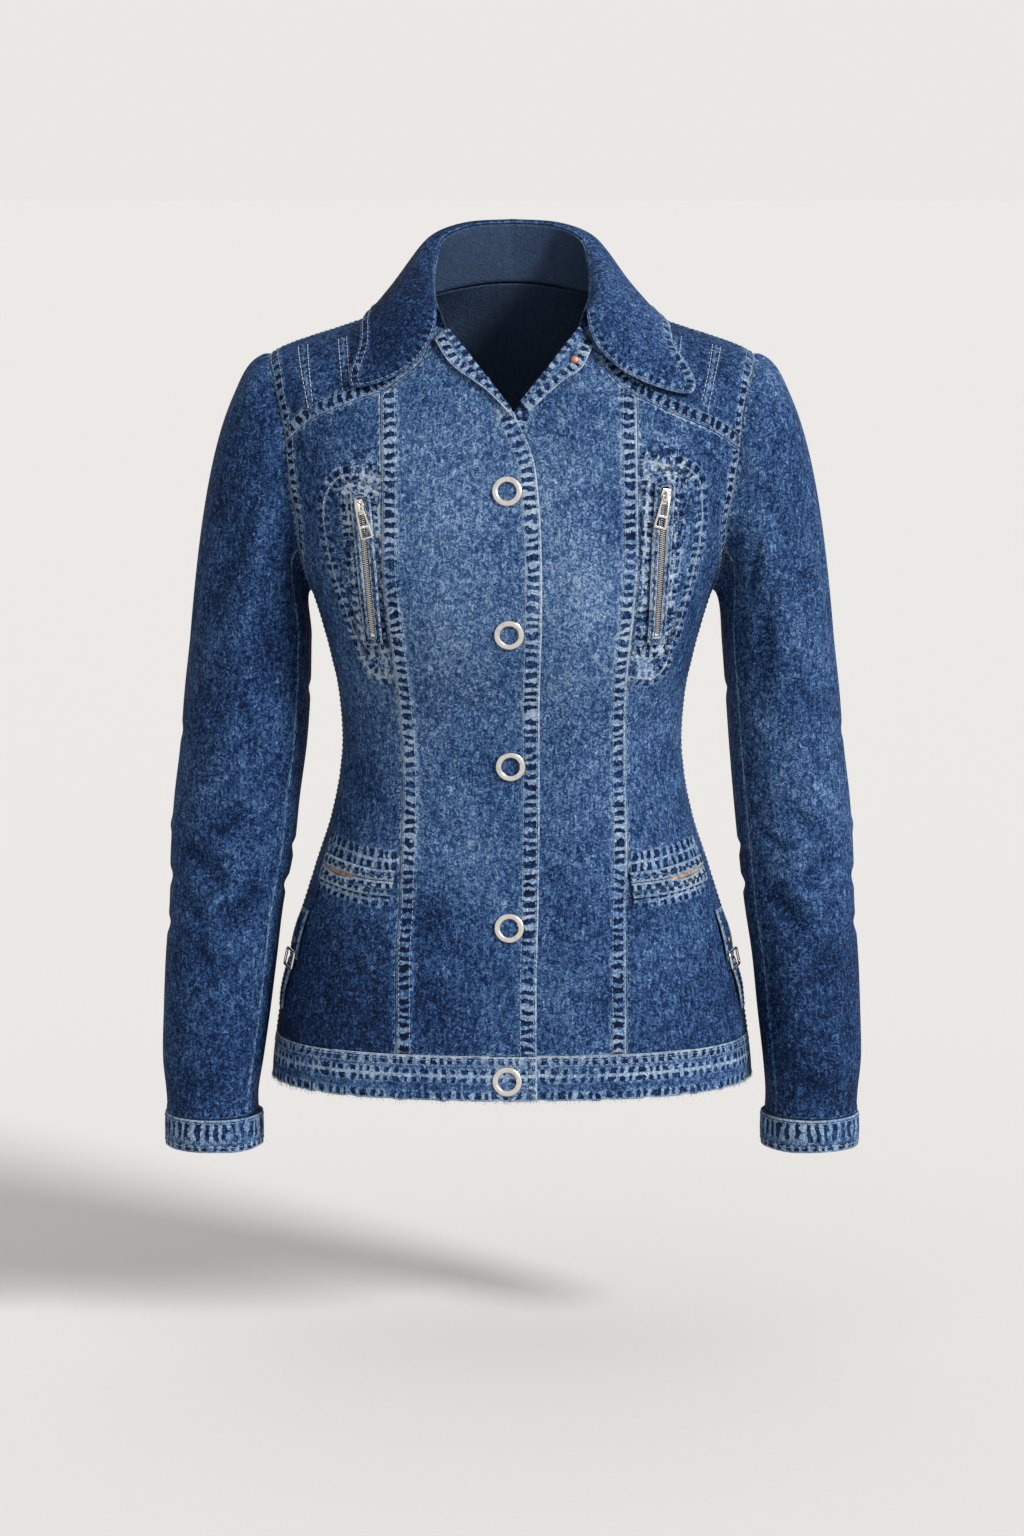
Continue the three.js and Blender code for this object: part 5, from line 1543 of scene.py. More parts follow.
@dataclass
class HemBand:
    """The band of double cloth along the bottom, with a worn raw edge."""

    out: float = 0.5
    under: float = 2.6
    edge_x: float = 18.3
    rows: int = 16
    tab: float = 39.0           # width of the lighter end that carries the last snap
    fray: tuple[float, float] = (1.0, 4.2)

    CUTS = {"right": (0.215, 0.033), "left": (0.215, 0.033), "back": (0.440, 0.033)}

    def _band(self, name: str, first: float, last: float, cols: int) -> Patch:
        """One piece of the hem band.

        Args:
            name: Name of the piece.
            first: First row or angle.
            last: Last row or angle.
            cols: Number of columns of points.

        Returns:
            The piece.
        """
        angle = np.linspace(first, last, cols + 1)[None, :]
        z = np.linspace(HEM, BAND_TOP, self.rows + 1)[:, None]
        angle, z = np.broadcast_arrays(angle, z)
        normals = Trunk.normal(angle, z)
        points = Trunk.place(angle, z)
        lift = np.full(angle.shape, self.out)
        if name == "left":
            lift = lift + underlap(points) * self.under / UNDERLAP
        up = (z - HEM) / (BAND_TOP - HEM)
        lift = lift + 0.6 * (1 - up) * wobble(angle * 3, 2, 24) + 0.5 * np.sin(up * math.pi)
        points = points + normals * lift[..., None]
        points[..., 2] += 0.7 * (1 - up) * wobble(angle * 3, 6, 9)
        node = f"hem_band_{name}"
        seams = [Seam("top", band=7.0, strength=0.9, rows=(2.6, 6.6), ply=False),
                 Seam("line", band=5.5, strength=0.85, ply=False, line=points[9]),
                 Seam("bottom", band=7, strength=0.75, rows=(), ply=False)]
        fade = WASH_AND_SHADE.trim - 0.1 + 0.07 * wobble(angle * 3, 1, 40) + 0.0 * z
        if name == "right":
            seams.append(Seam("end", band=7, strength=0.8, rows=(2.5,), ply=False))
            fade = fade + 0.12 * smooth(points[..., 0], self.edge_x - self.tab - 1,
                                        self.edge_x - self.tab + 1)
        return Patch(f"cloth_{node}", node, drawn_in(points), normals, Slot.WORN, self.CUTS[name],
                     1.0, seams, fade, thickness=BAND_CLOTH)

    def patches(self) -> list[Patch]:
        """The three stretches of the band."""
        end = float(Trunk.seen(self.edge_x, BAND_TOP)[0])
        start = float(Trunk.seen(2 - self.edge_x, BAND_TOP)[0])
        return [self._band("right", -90, end, 150), self._band("left", start, 90, 150),
                self._band("back", 90, 270, 300)]

    def dress(self, bands: Sequence[Patch]) -> None:
        """Frays the bottom edge with short loose threads.

        Args:
            bands: The built patches of the band.
        """
        draw = np.random.default_rng(7)
        points, quads = [], []
        for band in bands:
            edge = band.outer[0]
            run = run_of(edge)
            for at in np.arange(1, run[-1], 1.3):
                at += draw.uniform(-0.9, 0.9)
                root = np.array([np.interp(at, run, edge[:, k]) for k in range(3)])
                long = draw.uniform(*self.fray) * (0.6 + 0.4 * draw.random())
                lean = np.array([*draw.uniform(-0.7, 0.7, 2), -1.0])
                tip = root + unit(lean) * long
                mid = (root + tip) / 2 + draw.uniform(-0.5, 0.5, 3)
                root = root + (0, 0, 1.2)
                aside = unit(np.cross(tip - root, draw.normal(size=3))) * 0.16
                side = unit(np.cross(tip - root, aside)) * 0.16
                for centre, size in ((root, 1), (mid, 1), (tip, 0.6)):
                    points += [centre + aside * size, centre + side * size, centre - aside * size,
                               centre - side * size]
                quads.append(grid_quads(3, 4, True, start=len(points) - 12))
        obj = raw_mesh("hem_fray", np.array(points), np.concatenate(quads))
        obj.data.materials.append(Finish.named("thread_pale"))
        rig.ride(obj, "jacket")


# ---- pockets, zips


def beside(places: Array, offset: Array) -> Array:
    """Places moved round the trunk by millimetres."""
    angle, side = places[..., 0], places[..., 1]
    per = np.linalg.norm(Trunk.form(angle + 0.5, side) - Trunk.form(angle - 0.5, side), axis=-1)
    return np.stack([angle + offset / per, side + 0 * angle], -1)


@dataclass(frozen=True)
class Seat:
    """A frame of axes on the trunk: x round the body, y up the cloth, z out of it."""

    angle: float
    side: float
    out: float
    lean: float = 0.0

    def points(self, local: Array) -> Array:
        """Points given in the seat's axes, in the row frame.

        Args:
            local: Points in the seat's own axes.

        Returns:
            Points, in the row frame.
        """
        a, s = np.array(self.angle), np.array(self.side)
        normal = Trunk.normal(a, s)
        up = unit(Trunk.place(a, s + 1) - Trunk.place(a, s - 1))
        across = unit(np.cross(up, normal))
        basis = np.stack([across, np.cross(normal, across), normal])
        c, n = math.cos(self.lean), math.sin(self.lean)
        turned = local @ np.array([[c, n, 0], [-n, c, 0], [0, 0, 1]])
        return Trunk.place(a, s, self.out) + turned @ basis


def strip(node: str, line: Array, half: Array | float, out: float, thickness: float, slot: Slot,
          cut: tuple[float, float], seams: Sequence[Seam], fade: float, bulge: float = 0.0,
          cols: int = 7) -> Patch:
    """A strip of cloth along a line of places.

    Args:
        node: CAD node that the piece stands for.
        line: Points or places of the line, in order.
        half: Half width.
        out: Distance out of the cloth.
        thickness: Thickness of the cloth.
        slot: Finish slot.
        cut: Flat width and length, in metres.
        seams: Seams that the piece carries.
        fade: How light the wash is.
        bulge: Rise of the middle.
        cols: Number of columns of points.

    Returns:
        The strip.
    """
    across = np.linspace(-1, 1, cols)[None, :]
    half = np.interp(np.linspace(0, 1, len(line)), np.linspace(0, 1, np.size(half)), half) \
        if np.size(half) > 1 else np.full(len(line), float(half))
    places = beside(np.repeat(line[::-1, None], cols, 1), across * half[::-1, None])
    normals = Trunk.normal(places[..., 0], places[..., 1])
    swell = bulge * np.sin(np.linspace(0, math.pi, len(line)))[:, None] + 0 * across
    points = Trunk.place(places[..., 0], places[..., 1], out + thickness + swell)
    return Patch(f"cloth_{node}", node, points, normals, slot, cut, 1.0, seams, fade, thickness,
                 relief=0.5, held="laid")


@dataclass
class ChestPocket:
    """A closed zip with its tape, lips, teeth, slider and pull, and the pocket's outline."""

    side: Side
    tape_half: float = 5.5
    tape_thick: float = 0.8
    lip_slot: float = 2.6
    lip_half: float = 8.0
    lip_end: float = 6.0
    lip_thick: float = 0.9
    tooth_pitch: float = 1.35
    tooth: tuple[float, float, float] = (2.5, 0.62, 1.25)
    slider_row: float = 2 / 32

    LINES = {Side.RIGHT: [(-109, -148), (-100, -249)], Side.LEFT: [(110, -140), (104, -249)]}
    OUTLINES = {
        Side.RIGHT: [(-92, -135.5), (-110, -131.5), (-126, -134), (-136, -150), (-135, -180),
                     (-128, -209), (-115, -248), (-106, -272), (-98, -279), (-86.5, -278.6)],
        Side.LEFT: [(93, -120), (107, -124), (125, -126), (135, -135), (138, -157), (137, -178),
                    (128, -220), (117, -259), (109, -277), (101, -281), (86, -279)],
    }
    TAPE = (0.011, 0.103)
    LIP = (0.016, 0.116)

    def outline(self) -> Array:
        """Points of the stitched outline of the pocket bag."""
        places = Trunk.drawn(self.OUTLINES[self.side], 120)
        return Trunk.place(places[:, 0], places[:, 1])

    def line(self, count: int) -> Array:
        """Places along the zip, from its top down."""
        return Trunk.drawn(self.LINES[self.side], count)

    def seams(self) -> list[Seam]:
        """What the pocket adds to the panel's puckering: its outline, and round the zip."""
        places = self.loop(self.lip_half + 4.5, self.lip_end + 5.0)
        places = np.concatenate([places, places[:1]])
        return [Seam("line", band=6.5, strength=0.75, ply=False, line=self.outline()),
                Seam("line", band=5.5, strength=0.95, ply=False,
                     line=Trunk.place(places[:, 0], places[:, 1]))]

    def rubbed(self, points: Array) -> Array:
        """How much the cloth over the pocket bag is rubbed, 1 at the zip to 0 outside it.

        Args:
            points: Points.

        Returns:
            The share at each point.
        """
        ends = np.array(self.LINES[self.side], float)
        way = (ends[1] - ends[0]) / np.linalg.norm(ends[1] - ends[0])
        places = Trunk.drawn([tuple(ends[0] - way * 12), tuple(ends[1] + way * 14)], 60)
        middle = Trunk.place(places[:, 0], places[:, 1])
        off, _ = nearest(points.reshape(-1, 3), middle)
        off = off + 3.0 * wobble(points.reshape(-1, 3)[:, 2], 5, 12)
        return (1 - smooth(off, 13, 30)).reshape(points.shape[:2])

    def patches(self) -> list[Patch]:
        """The tape and the lip frame."""
        w = self.side.word
        wide, long = self.TAPE
        tape = strip(f"zip_tape_{w}", self.line(60), self.tape_half, LAY, self.tape_thick,
                     Slot.TAPE, (wide, long), (), 0.12)
        return [tape, self._lip()]

    def loop(self, half: float, end: float) -> Array:
        """Places round the zip, half to each side of it and end past both its ends.

        Args:
            half: Half width.
            end: Distance past each end.

        Returns:
            Places.
        """
        line = self.line(60)
        run = run_of(Trunk.place(line[:, 0], line[:, 1]))
        turn = np.linspace(0, math.pi, 11)
        c, s = np.cos(turn), np.sin(turn)
        wide = half * np.sign(c) * np.abs(c) ** 0.5
        past = end * s**0.5
        along = np.concatenate([run[1:-1], run[-1] + past, run[1:-1][::-1], -past])
        across = np.concatenate([np.full(59, half), wide, np.full(59, -half), -wide])
        at = np.clip(along, 0, run[-1])
        places = np.stack([np.interp(at, run, line[:, k]) for k in (0, 1)], -1)
        places[:, 1] -= along - at
        return beside(places, across)

    def _lip(self) -> Patch:
        """The stitched frame round the zip.

        Returns:
            The frame.
        """
        share = np.linspace(0, 1, 6)[:, None, None]
        outer, inner = self.loop(self.lip_half, self.lip_end), self.loop(self.lip_slot, 0)
        places = outer * (1 - share) + inner * share
        out = self.tape_thick + 2 * LAY + self.lip_thick
        swell = 0.35 * np.sin(share[..., 0] * math.pi)
        normals = Trunk.normal(places[..., 0], places[..., 1])
        points = Trunk.place(places[..., 0], places[..., 1], out + swell)
        node = f"zip_lip_{self.side.word}"
        return Patch(f"cloth_{node}", node, points, normals, Slot.WORN, self.LIP, 0.75, [
            Seam("bottom", band=4.0, strength=0.55, rows=(1.2,), ply=False),
            Seam("top", band=3.0, strength=0.8, rows=(1.2,), ply=False)],
            0.53, self.lip_thick, ring=True, relief=0.6, held="laid", scuff=0.8)

    def dress(self, threads: Threads) -> None:
        """Sews the outline and sets the teeth and stops."""
        places = Trunk.drawn(self.OUTLINES[self.side], 120)
        normals = Trunk.normal(places[:, 0], places[:, 1])
        threads.sew(Trunk.place(places[:, 0], places[:, 1], 0.12, fine=True), normals)
        self._teeth()

    def _teeth(self) -> None:
        """Sets the teeth in two rows that mesh, and the stop below them."""
        line = self.line(200)
        out = LAY + self.tape_thick + 0.35
        base = Trunk.place(line[:, 0], line[:, 1], out)
        normal = Trunk.normal(line[:, 0], line[:, 1])
        run = run_of(base)
        at = np.arange(run[-1] * self.slider_row + 5, run[-1] - 2.2, self.tooth_pitch / 2)

        def read(values: Array, where: Array) -> Array:
            """Values at runs along the zip."""
            return np.stack([np.interp(where, run, values[:, k]) for k in range(3)], -1)

        centre, out_way = read(base, at), unit(read(normal, at))
        way = unit(read(base, at + 0.5) - read(base, at - 0.5))
        aside = unit(np.cross(way, out_way))
        side = np.where(np.arange(len(at)) % 2, 1.0, -1.0)[:, None]
        wide, long, tall = self.tooth
        centre = centre + aside * side * 0.95
        corners = [(a, b, c) for c in (-1, 1) for b in (-1, 1) for a in (-1, 1)]
        points = np.stack([centre + aside * a * (wide / 2) * (0.86 if c > 0 else 1)
                           + way * b * (long / 2) * (0.8 if c > 0 else 1)
                           + out_way * c * tall / 2 for a, b, c in corners], 1)
        box = np.array([(0, 2, 3, 1), (4, 5, 7, 6), (0, 1, 5, 4), (2, 6, 7, 3), (0, 4, 6, 2),
                        (1, 3, 7, 5)])
        quads = (box[None] + 8 * np.arange(len(at))[:, None, None]).reshape(-1, 4)
        obj = raw_mesh(f"zip_teeth_{self.side.word}", points.reshape(-1, 3), quads)
        obj.data.shade_flat()
        obj.data.materials.append(Finish.named("silver"))
        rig.ride(obj, "jacket")
        end = line[-1]
        stop = Metal.block(f"zip_stop_{self.side.word}", Seat(end[0], end[1] + 1.2, out + 0.1),
                           (4.6, 2.2, 1.4))
        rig.ride(stop, "jacket")


@dataclass
class WaistPocket:
    """A welt pocket: a slit that gapes at its outer end between two lips."""

    side: Side
    gape: float = 3.0
    out: float = 0.9
    near_far: tuple[tuple[str, float, float], ...] = (("upper", 0.3, 8.0), ("lower", -0.3, -11.0))

    SLITS = {Side.RIGHT: [(-139, -425), (-107, -430.5), (-87, -431)],
             Side.LEFT: [(141, -427), (110, -431.5), (87.5, -432.5)]}
    LIP = {"upper": (0.058, 0.010, 0.8), "lower": (0.058, 0.013, 0.85)}

    def outline(self, above: float = 0.0) -> Array:
        """Points of the slit, or of a line above it."""
        places = Trunk.drawn(self.SLITS[self.side], 60) + (0, above)
        return Trunk.place(places[:, 0], places[:, 1])

    def seams(self) -> list[Seam]:
        """What the pocket adds to the panel's puckering: a row above it and one below."""
        return [Seam("line", band=8.0, strength=0.95, ply=False, line=self.outline(15.0)),
                Seam("line", band=5.0, strength=0.8, ply=False, line=self.outline(-14.0))]

    def patches(self) -> list[Patch]:
        """Both lips.

        Returns:
            The lips.
        """
        slit = Trunk.drawn(self.SLITS[self.side], 64)
        made = []
        for which, near, far in self.near_far:
            u = np.linspace(0, 1, 9)[:, None]
            gape = self.gape * np.sin(math.pi * np.minimum(1, np.linspace(0, 2, 65)))[None, :]
            gape = gape * (which == "lower") * (1 - u)
            angle = slit[:, 0][None, :] + 0 * u
            side = slit[:, 1][None, :] + near + (far - near) * u - gape
            normals = Trunk.normal(angle, side)
            ripple = wobble(np.linspace(0, 60, 65)[None, :], far, 14)
            swell = 0.5 * np.sin(u * math.pi) + 0.35 * ripple
            points = Trunk.place(angle, side, self.out + CLOTH + swell)
            node = f"pocket_lip_{which}_{self.side.word}"
            wide, long, share = self.LIP[which]
            made.append(Patch(
                f"cloth_{node}", node, points, normals, Slot.WORN, (wide, long), share,
                [Seam("bottom", band=6, strength=1.1, rows=(1.5,), ply=False),
                 Seam("top", band=6, strength=1.1, rows=(1.6,), ply=False)],
                0.46, relief=0.7, held="laid"))
        return made

    def dress(self) -> None:
        """Lays the warm-coloured lining that shows where the slit gapes."""
        slit = Trunk.drawn(self.SLITS[self.side], 64)[:44]
        u = np.linspace(-1, 1, 5)[:, None]
        half = 0.3 + 1.1 * np.sin(np.linspace(0.5, math.pi, 44))[None, :]
        angle, side = slit[:, 0][None, :] + 0 * u, slit[:, 1][None, :] - 1.2 + half * u
        points = Trunk.place(angle, side, self.out + 0.5 * CLOTH)
        obj = grid_mesh(f"pocket_lining_{self.side.word}", points)
        obj.data.materials.append(Finish.named("lining"))
        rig.ride(obj, "jacket")


class Tucks:
    """Pairs of stitch lines over the front yokes."""

    LINES = {
        Side.RIGHT: [[(-157, -42), (-151, -70), (-147, -88)], [(-150, -40), (-144.5, -82)],
                     [(-127, -36), (-122.5, -72)], [(-121, -34), (-118, -60)]],
        Side.LEFT: [[(147, -40), (142, -62), (137, -80)], [(153, -42), (147, -64), (142, -86)],
                    [(124, -34), (118, -66)], [(117, -32), (112, -60)]],
    }

    @classmethod
    def seams(cls, side: Side) -> list[Seam]:
        """A low ridge between the lines of each pair.

        Args:
            side: The wearer's side.

        Returns:
            The ridges.
        """
        found = []
        for first, second in zip(cls.LINES[side][::2], cls.LINES[side][1::2]):
            middle = [tuple((np.array(a) + b) / 2) for a, b in zip((first[0], first[-1]),
                                                                    (second[0], second[-1]))]
            places = Trunk.drawn(middle, 40)
            found.append(Seam("line", band=4.5, strength=0.35, ply=False,
                              line=Trunk.place(places[:, 0], places[:, 1])))
        return found

    @classmethod
    def dress(cls, threads: Threads) -> None:
        """Sews all tuck lines."""
        for lines in cls.LINES.values():
            for line in lines:
                places = Trunk.drawn(line, 40)
                threads.sew(Trunk.place(places[:, 0], places[:, 1], 0.1, fine=True),
                            Trunk.normal(places[:, 0], places[:, 1]))


# ---- metal


class Metal:
    """Smooth metal trim on the places of its CAD solids."""

    @staticmethod
    def lathe(name: str, seat: Seat, profile: Sequence[tuple[float, float]], finish: str,
              sides: int = 56) -> bpy.types.Object:
        """A round piece turned from a profile of radius and height.

        Args:
            name: Name of the piece.
            seat: Frame of axes that the piece sits on.
            profile: Radius and height of each ring.
            finish: Name of the finish.
            sides: Number of sides.

        Returns:
            The new object.
        """
        turn = np.linspace(0, 2 * math.pi, sides + 1)[None, :-1]
        r, h = (np.array(v)[:, None] for v in zip(*profile))
        local = np.stack([r * np.cos(turn), r * np.sin(turn), h + 0 * turn], -1)
        obj = grid_mesh(name, seat.points(local.reshape(-1, 3)).reshape(local.shape), ring=True)
        obj.data.materials.append(Finish.named(finish))
        return obj

    @staticmethod
    def block(name: str, seat: Seat, size: tuple[float, float, float]) -> bpy.types.Object:
        """A small rounded block.

        Args:
            name: Name of the piece.
            seat: Frame of axes that the piece sits on.
            size: Width, length and height.

        Returns:
            The new object.
        """
        wide, tall, thick = size
        turn = np.linspace(0, 2 * math.pi, 25)[None, :-1]
        level = np.array([(0.0, -0.5), (0.96, -0.5), (1.0, -0.3), (1.0, 0.25), (0.9, 0.5),
                          (0, 0.5)])
        r, h = level[:, :1], level[:, 1:]
        square = 1 / (np.abs(np.cos(turn)) ** 6 + np.abs(np.sin(turn)) ** 6) ** (1 / 6)
        local = np.stack([r * wide / 2 * np.cos(turn) * square,
                          r * tall / 2 * np.sin(turn) * square,
                          h * thick + 0 * turn], -1)
        obj = grid_mesh(name, seat.points(local.reshape(-1, 3)).reshape(local.shape), ring=True)
        obj.data.materials.append(Finish.named("silver"))
        return obj

    @staticmethod
    def loop(name: str, seat: Seat, half_wide: float, half_tall: float, corner: float,
             wire: float) -> bpy.types.Object:
        """A rectangular ring of round wire with rounded corners.

        Args:
            name: Name of the piece.
            seat: Frame of axes that the piece sits on.
            half_wide: Half of the width.
            half_tall: Half of the height.
            corner: Roundness of the corners.
            wire: Size of the wire.

        Returns:
            The new object.
        """
        path = []
        for cx, cy, start in ((1, 1, 0), (-1, 1, 90), (-1, -1, 180), (1, -1, 270)):
            for a in np.radians(np.linspace(start, start + 90, 9)):
                path.append((cx * (half_wide - corner) + corner * math.cos(a),
                             cy * (half_tall - corner) + corner * math.sin(a), 0))
        path = np.array(path)
        way = unit(np.roll(path, -1, 0) - np.roll(path, 1, 0))
        side = np.cross(way, (0, 0, 1.0))
        turn = np.linspace(0, 2 * math.pi, 13)[:-1]
        local = (path[None] + wire * (np.cos(turn)[:, None, None] * side[None]
                 + np.sin(turn)[:, None, None] * np.array([0, 0, 1.0])))
        local = np.concatenate([local, local[:1]])
        obj = grid_mesh(name, seat.points(local.reshape(-1, 3)).reshape(local.shape), ring=True)
        obj.data.materials.append(Finish.named("silver"))
        return obj

    @staticmethod
    def polished(node: bpy.types.Object, body: str, bevel: float, finish: str) -> bpy.types.Object:
        """A copy of a CAD solid with its edges rounded, in place of it.

        Args:
            node: CAD node that the piece stands for.
            body: Body that the piece rides.
            bevel: Width of the rounded edge.
            finish: Name of the finish.

        Returns:
            The new object.
        """
        mesh = node.data.copy()
        mesh.materials.clear()
        obj = bpy.data.objects.new(f"metal_{node.name}", mesh)
        bpy.context.scene.collection.objects.link(obj)
        weld = obj.modifiers.new("weld", "WELD")
        weld.merge_threshold = 1e-5
        edge = obj.modifiers.new("bevel", "BEVEL")
        edge.width, edge.segments, edge.limit_method = bevel * MM, 2, "ANGLE"
        edge.angle_limit = math.radians(28)
        edge.harden_normals = True
        obj.data.shade_smooth()
        obj.data.materials.append(Finish.named(finish))
        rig.ride(obj, body)
        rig.replaces(obj, node.name)
        return obj


@dataclass
class Hardware:
    """Ring snaps, neck stud, side rings and rivets, sliders and pulls."""

    snaps: tuple[tuple[float, float, float], ...] = (
        (-3.5, -142, 0.3), (-2, -245, 0.3), (-1, -344, 1.2), (-2, -463, 0.3), (-3.5, -575, 0.9))
    snap_hole: float = 6.5
    snap_rim: float = 11.0
    snap_tall: float = 2.25
    stud: tuple[float, float] = (45, -50)
    ring_place: tuple[float, float] = (75.5, -499)
    ring_half: tuple[float, float] = (12.2, 7.5)
    rivet_place: tuple[float, float] = (76.5, -485)
    tab_out: float = 0.6

    RIVET = [(0, 1.55), (1.1, 1.5), (2.1, 1.3), (2.6, 0.95), (3.1, 0.55), (3.2, 0.3), (3.0, 0.0)]

    def build(self, nodes: dict[str, bpy.types.Object]) -> None:
        """Makes every metal piece in place of its CAD node.

        Args:
            nodes: CAD objects by node name.
        """
        turn = np.linspace(-0.35, math.pi + 0.35, 17)
        middle, half = (self.snap_hole + self.snap_rim) / 2, (self.snap_rim - self.snap_hole) / 2
        profile = [(middle + half * math.cos(a), 0.55 + (self.snap_tall - 0.55) * math.sin(a))
                   for a in turn]
        for i, (x, z, out) in enumerate(self.snaps, 1):
            angle, side = Trunk.seen(x, z)
            self._stands(Metal.lathe(f"metal_ring_snap_{i}", Seat(float(angle), float(side), out),
                                     profile, "silver"), f"ring_snap_{i}", Slot.SILVER)
        angle, side = Trunk.seen(*self.stud)
        seat = Seat(float(angle), float(side), 2 * LAY + CLOTH + 1.2)
        self._stands(Metal.lathe("metal_neck_stud", seat, self.RIVET, "rust", 28),
                     "neck_stud", Slot.COPPER)
        for s in Side:
            w = s.word
            base = self.tab_out + CLOTH + LAY
            seat = Seat(s.value * self.ring_place[0], self.ring_place[1], base + 1.4)
            self._stands(Metal.loop(f"metal_side_ring_{w}", seat, self.ring_half[0] - 1.05,
                                    self.ring_half[1] - 1.05, 2.6, 1.05),
                         f"side_ring_{w}", Slot.SILVER)
            seat = Seat(s.value * self.rivet_place[0], self.rivet_place[1], base)
            self._stands(Metal.lathe(f"metal_side_rivet_{w}", seat, self.RIVET, "copper", 28),
                         f"side_rivet_{w}", Slot.COPPER)
            for kind, body, bevel in (("slider", "jacket", 0.35), ("pull", f"pull_{w}", 0.32)):
                obj = Metal.polished(nodes[f"zip_{kind}_{w}"], body, bevel, "silver")
                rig.slot(obj, Slot.SILVER.value)

    @staticmethod
    def _stands(obj: bpy.types.Object, node: str, slot: Slot) -> None:
        """Says which node an object stands for, and where it goes."""
        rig.ride(obj, "jacket")
        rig.replaces(obj, node)
        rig.slot(obj, slot.value)


@dataclass
class SideTab:
    """A strap with a metal ring and a tail, near the hem at each side."""

    side: Side
    out: float = 0.6
    strap: tuple = ((76, -461), (75.5, -479), (75.5, -498))
    strap_half: tuple = (9, 10, 9.5)
    tail: tuple = ((77.5, -500), (79, -518), (79.5, -537))
    tail_half: tuple = (8.5, 7.5, 6)

    STRAP = (0.0193, 0.037)
    TAIL = (0.0148, 0.037)

    def patches(self) -> list[Patch]:
        """Strap and tail.

        Returns:
            The pieces.
        """
        s, w = self.side.value, self.side.word
        made = []
        for kind, places, half, cut in (("side_tab", self.strap, self.strap_half, self.STRAP),
                                        ("side_tab_tail", self.tail, self.tail_half, self.TAIL)):
            line = Trunk.seam([(s * a, z) for a, z in places], 24)
            made.append(strip(f"{kind}_{w}", line, np.array(half, float), self.out, CLOTH,
                              Slot.DARK, cut, [
                Seam("start", band=3.5, strength=1.25, rows=(2.0,), ply=False),
                Seam("end", band=3.5, strength=1.25, rows=(2.0,), ply=False),
                Seam("bottom", band=3.5, strength=1.25, rows=(2.0,), ply=False),
                Seam("top", band=3.5, strength=1.25, rows=(2.0,), ply=False)], 0.3,
                bulge=1.3, cols=15))
        return made


# ---- finishes


class Wave:
    """A value in a shader that ordinary arithmetic combines into math nodes."""

    def __init__(self, shader: "Shader", socket: bpy.types.NodeSocket) -> None:
        """Wraps one socket."""
        self.shader, self.socket = shader, socket

    def _math(self, operation: str, *values: "Wave | float", clamp: bool = False) -> "Wave":
        """The result of one Math node."""
        node = self.shader.node("ShaderNodeMath", {"operation": operation, "use_clamp": clamp},
                                dict(enumerate(values)))
        return Wave(self.shader, node.outputs[0])

    def __add__(self, other: "Wave | float") -> "Wave":
        """Sum."""
        return self._math("ADD", self, other)

    __radd__ = __add__

    def __sub__(self, other: "Wave | float") -> "Wave":
        """Difference."""
        return self._math("SUBTRACT", self, other)

    def __rsub__(self, other: float) -> "Wave":
        """Difference, from a number."""
        return self._math("SUBTRACT", other, self)

    def __mul__(self, other: "Wave | float") -> "Wave":
        """Product."""
        return self._math("MULTIPLY", self, other)

    __rmul__ = __mul__

    def __truediv__(self, other: "Wave | float") -> "Wave":
        """Quotient."""
        return self._math("DIVIDE", self, other)

    def __rtruediv__(self, other: float) -> "Wave":
        """Quotient, of a number."""
        return self._math("DIVIDE", other, self)

    def __neg__(self) -> "Wave":
        """Negative."""
        return self._math("MULTIPLY", self, -1.0)

    def sine(self) -> "Wave":
        """Sine of the value."""
        return self._math("SINE", self)

    def size(self) -> "Wave":
        """Absolute value."""
        return self._math("ABSOLUTE", self)

    def clamp(self) -> "Wave":
        """The value kept from 0 to 1."""
        return self._math("ADD", self, 0.0, clamp=True)

    def step(self, low: float, high: float) -> "Wave":
        """Smooth step from 0 at low to 1 at high; falls where low is above high."""
        if low > high:
            return 1.0 - self.step(high, low)
        node = self.shader.node("ShaderNodeMapRange", {"interpolation_type": "SMOOTHSTEP"},
                                {0: self, 1: low, 2: high, 3: 0.0, 4: 1.0})
        return Wave(self.shader, node.outputs[0])


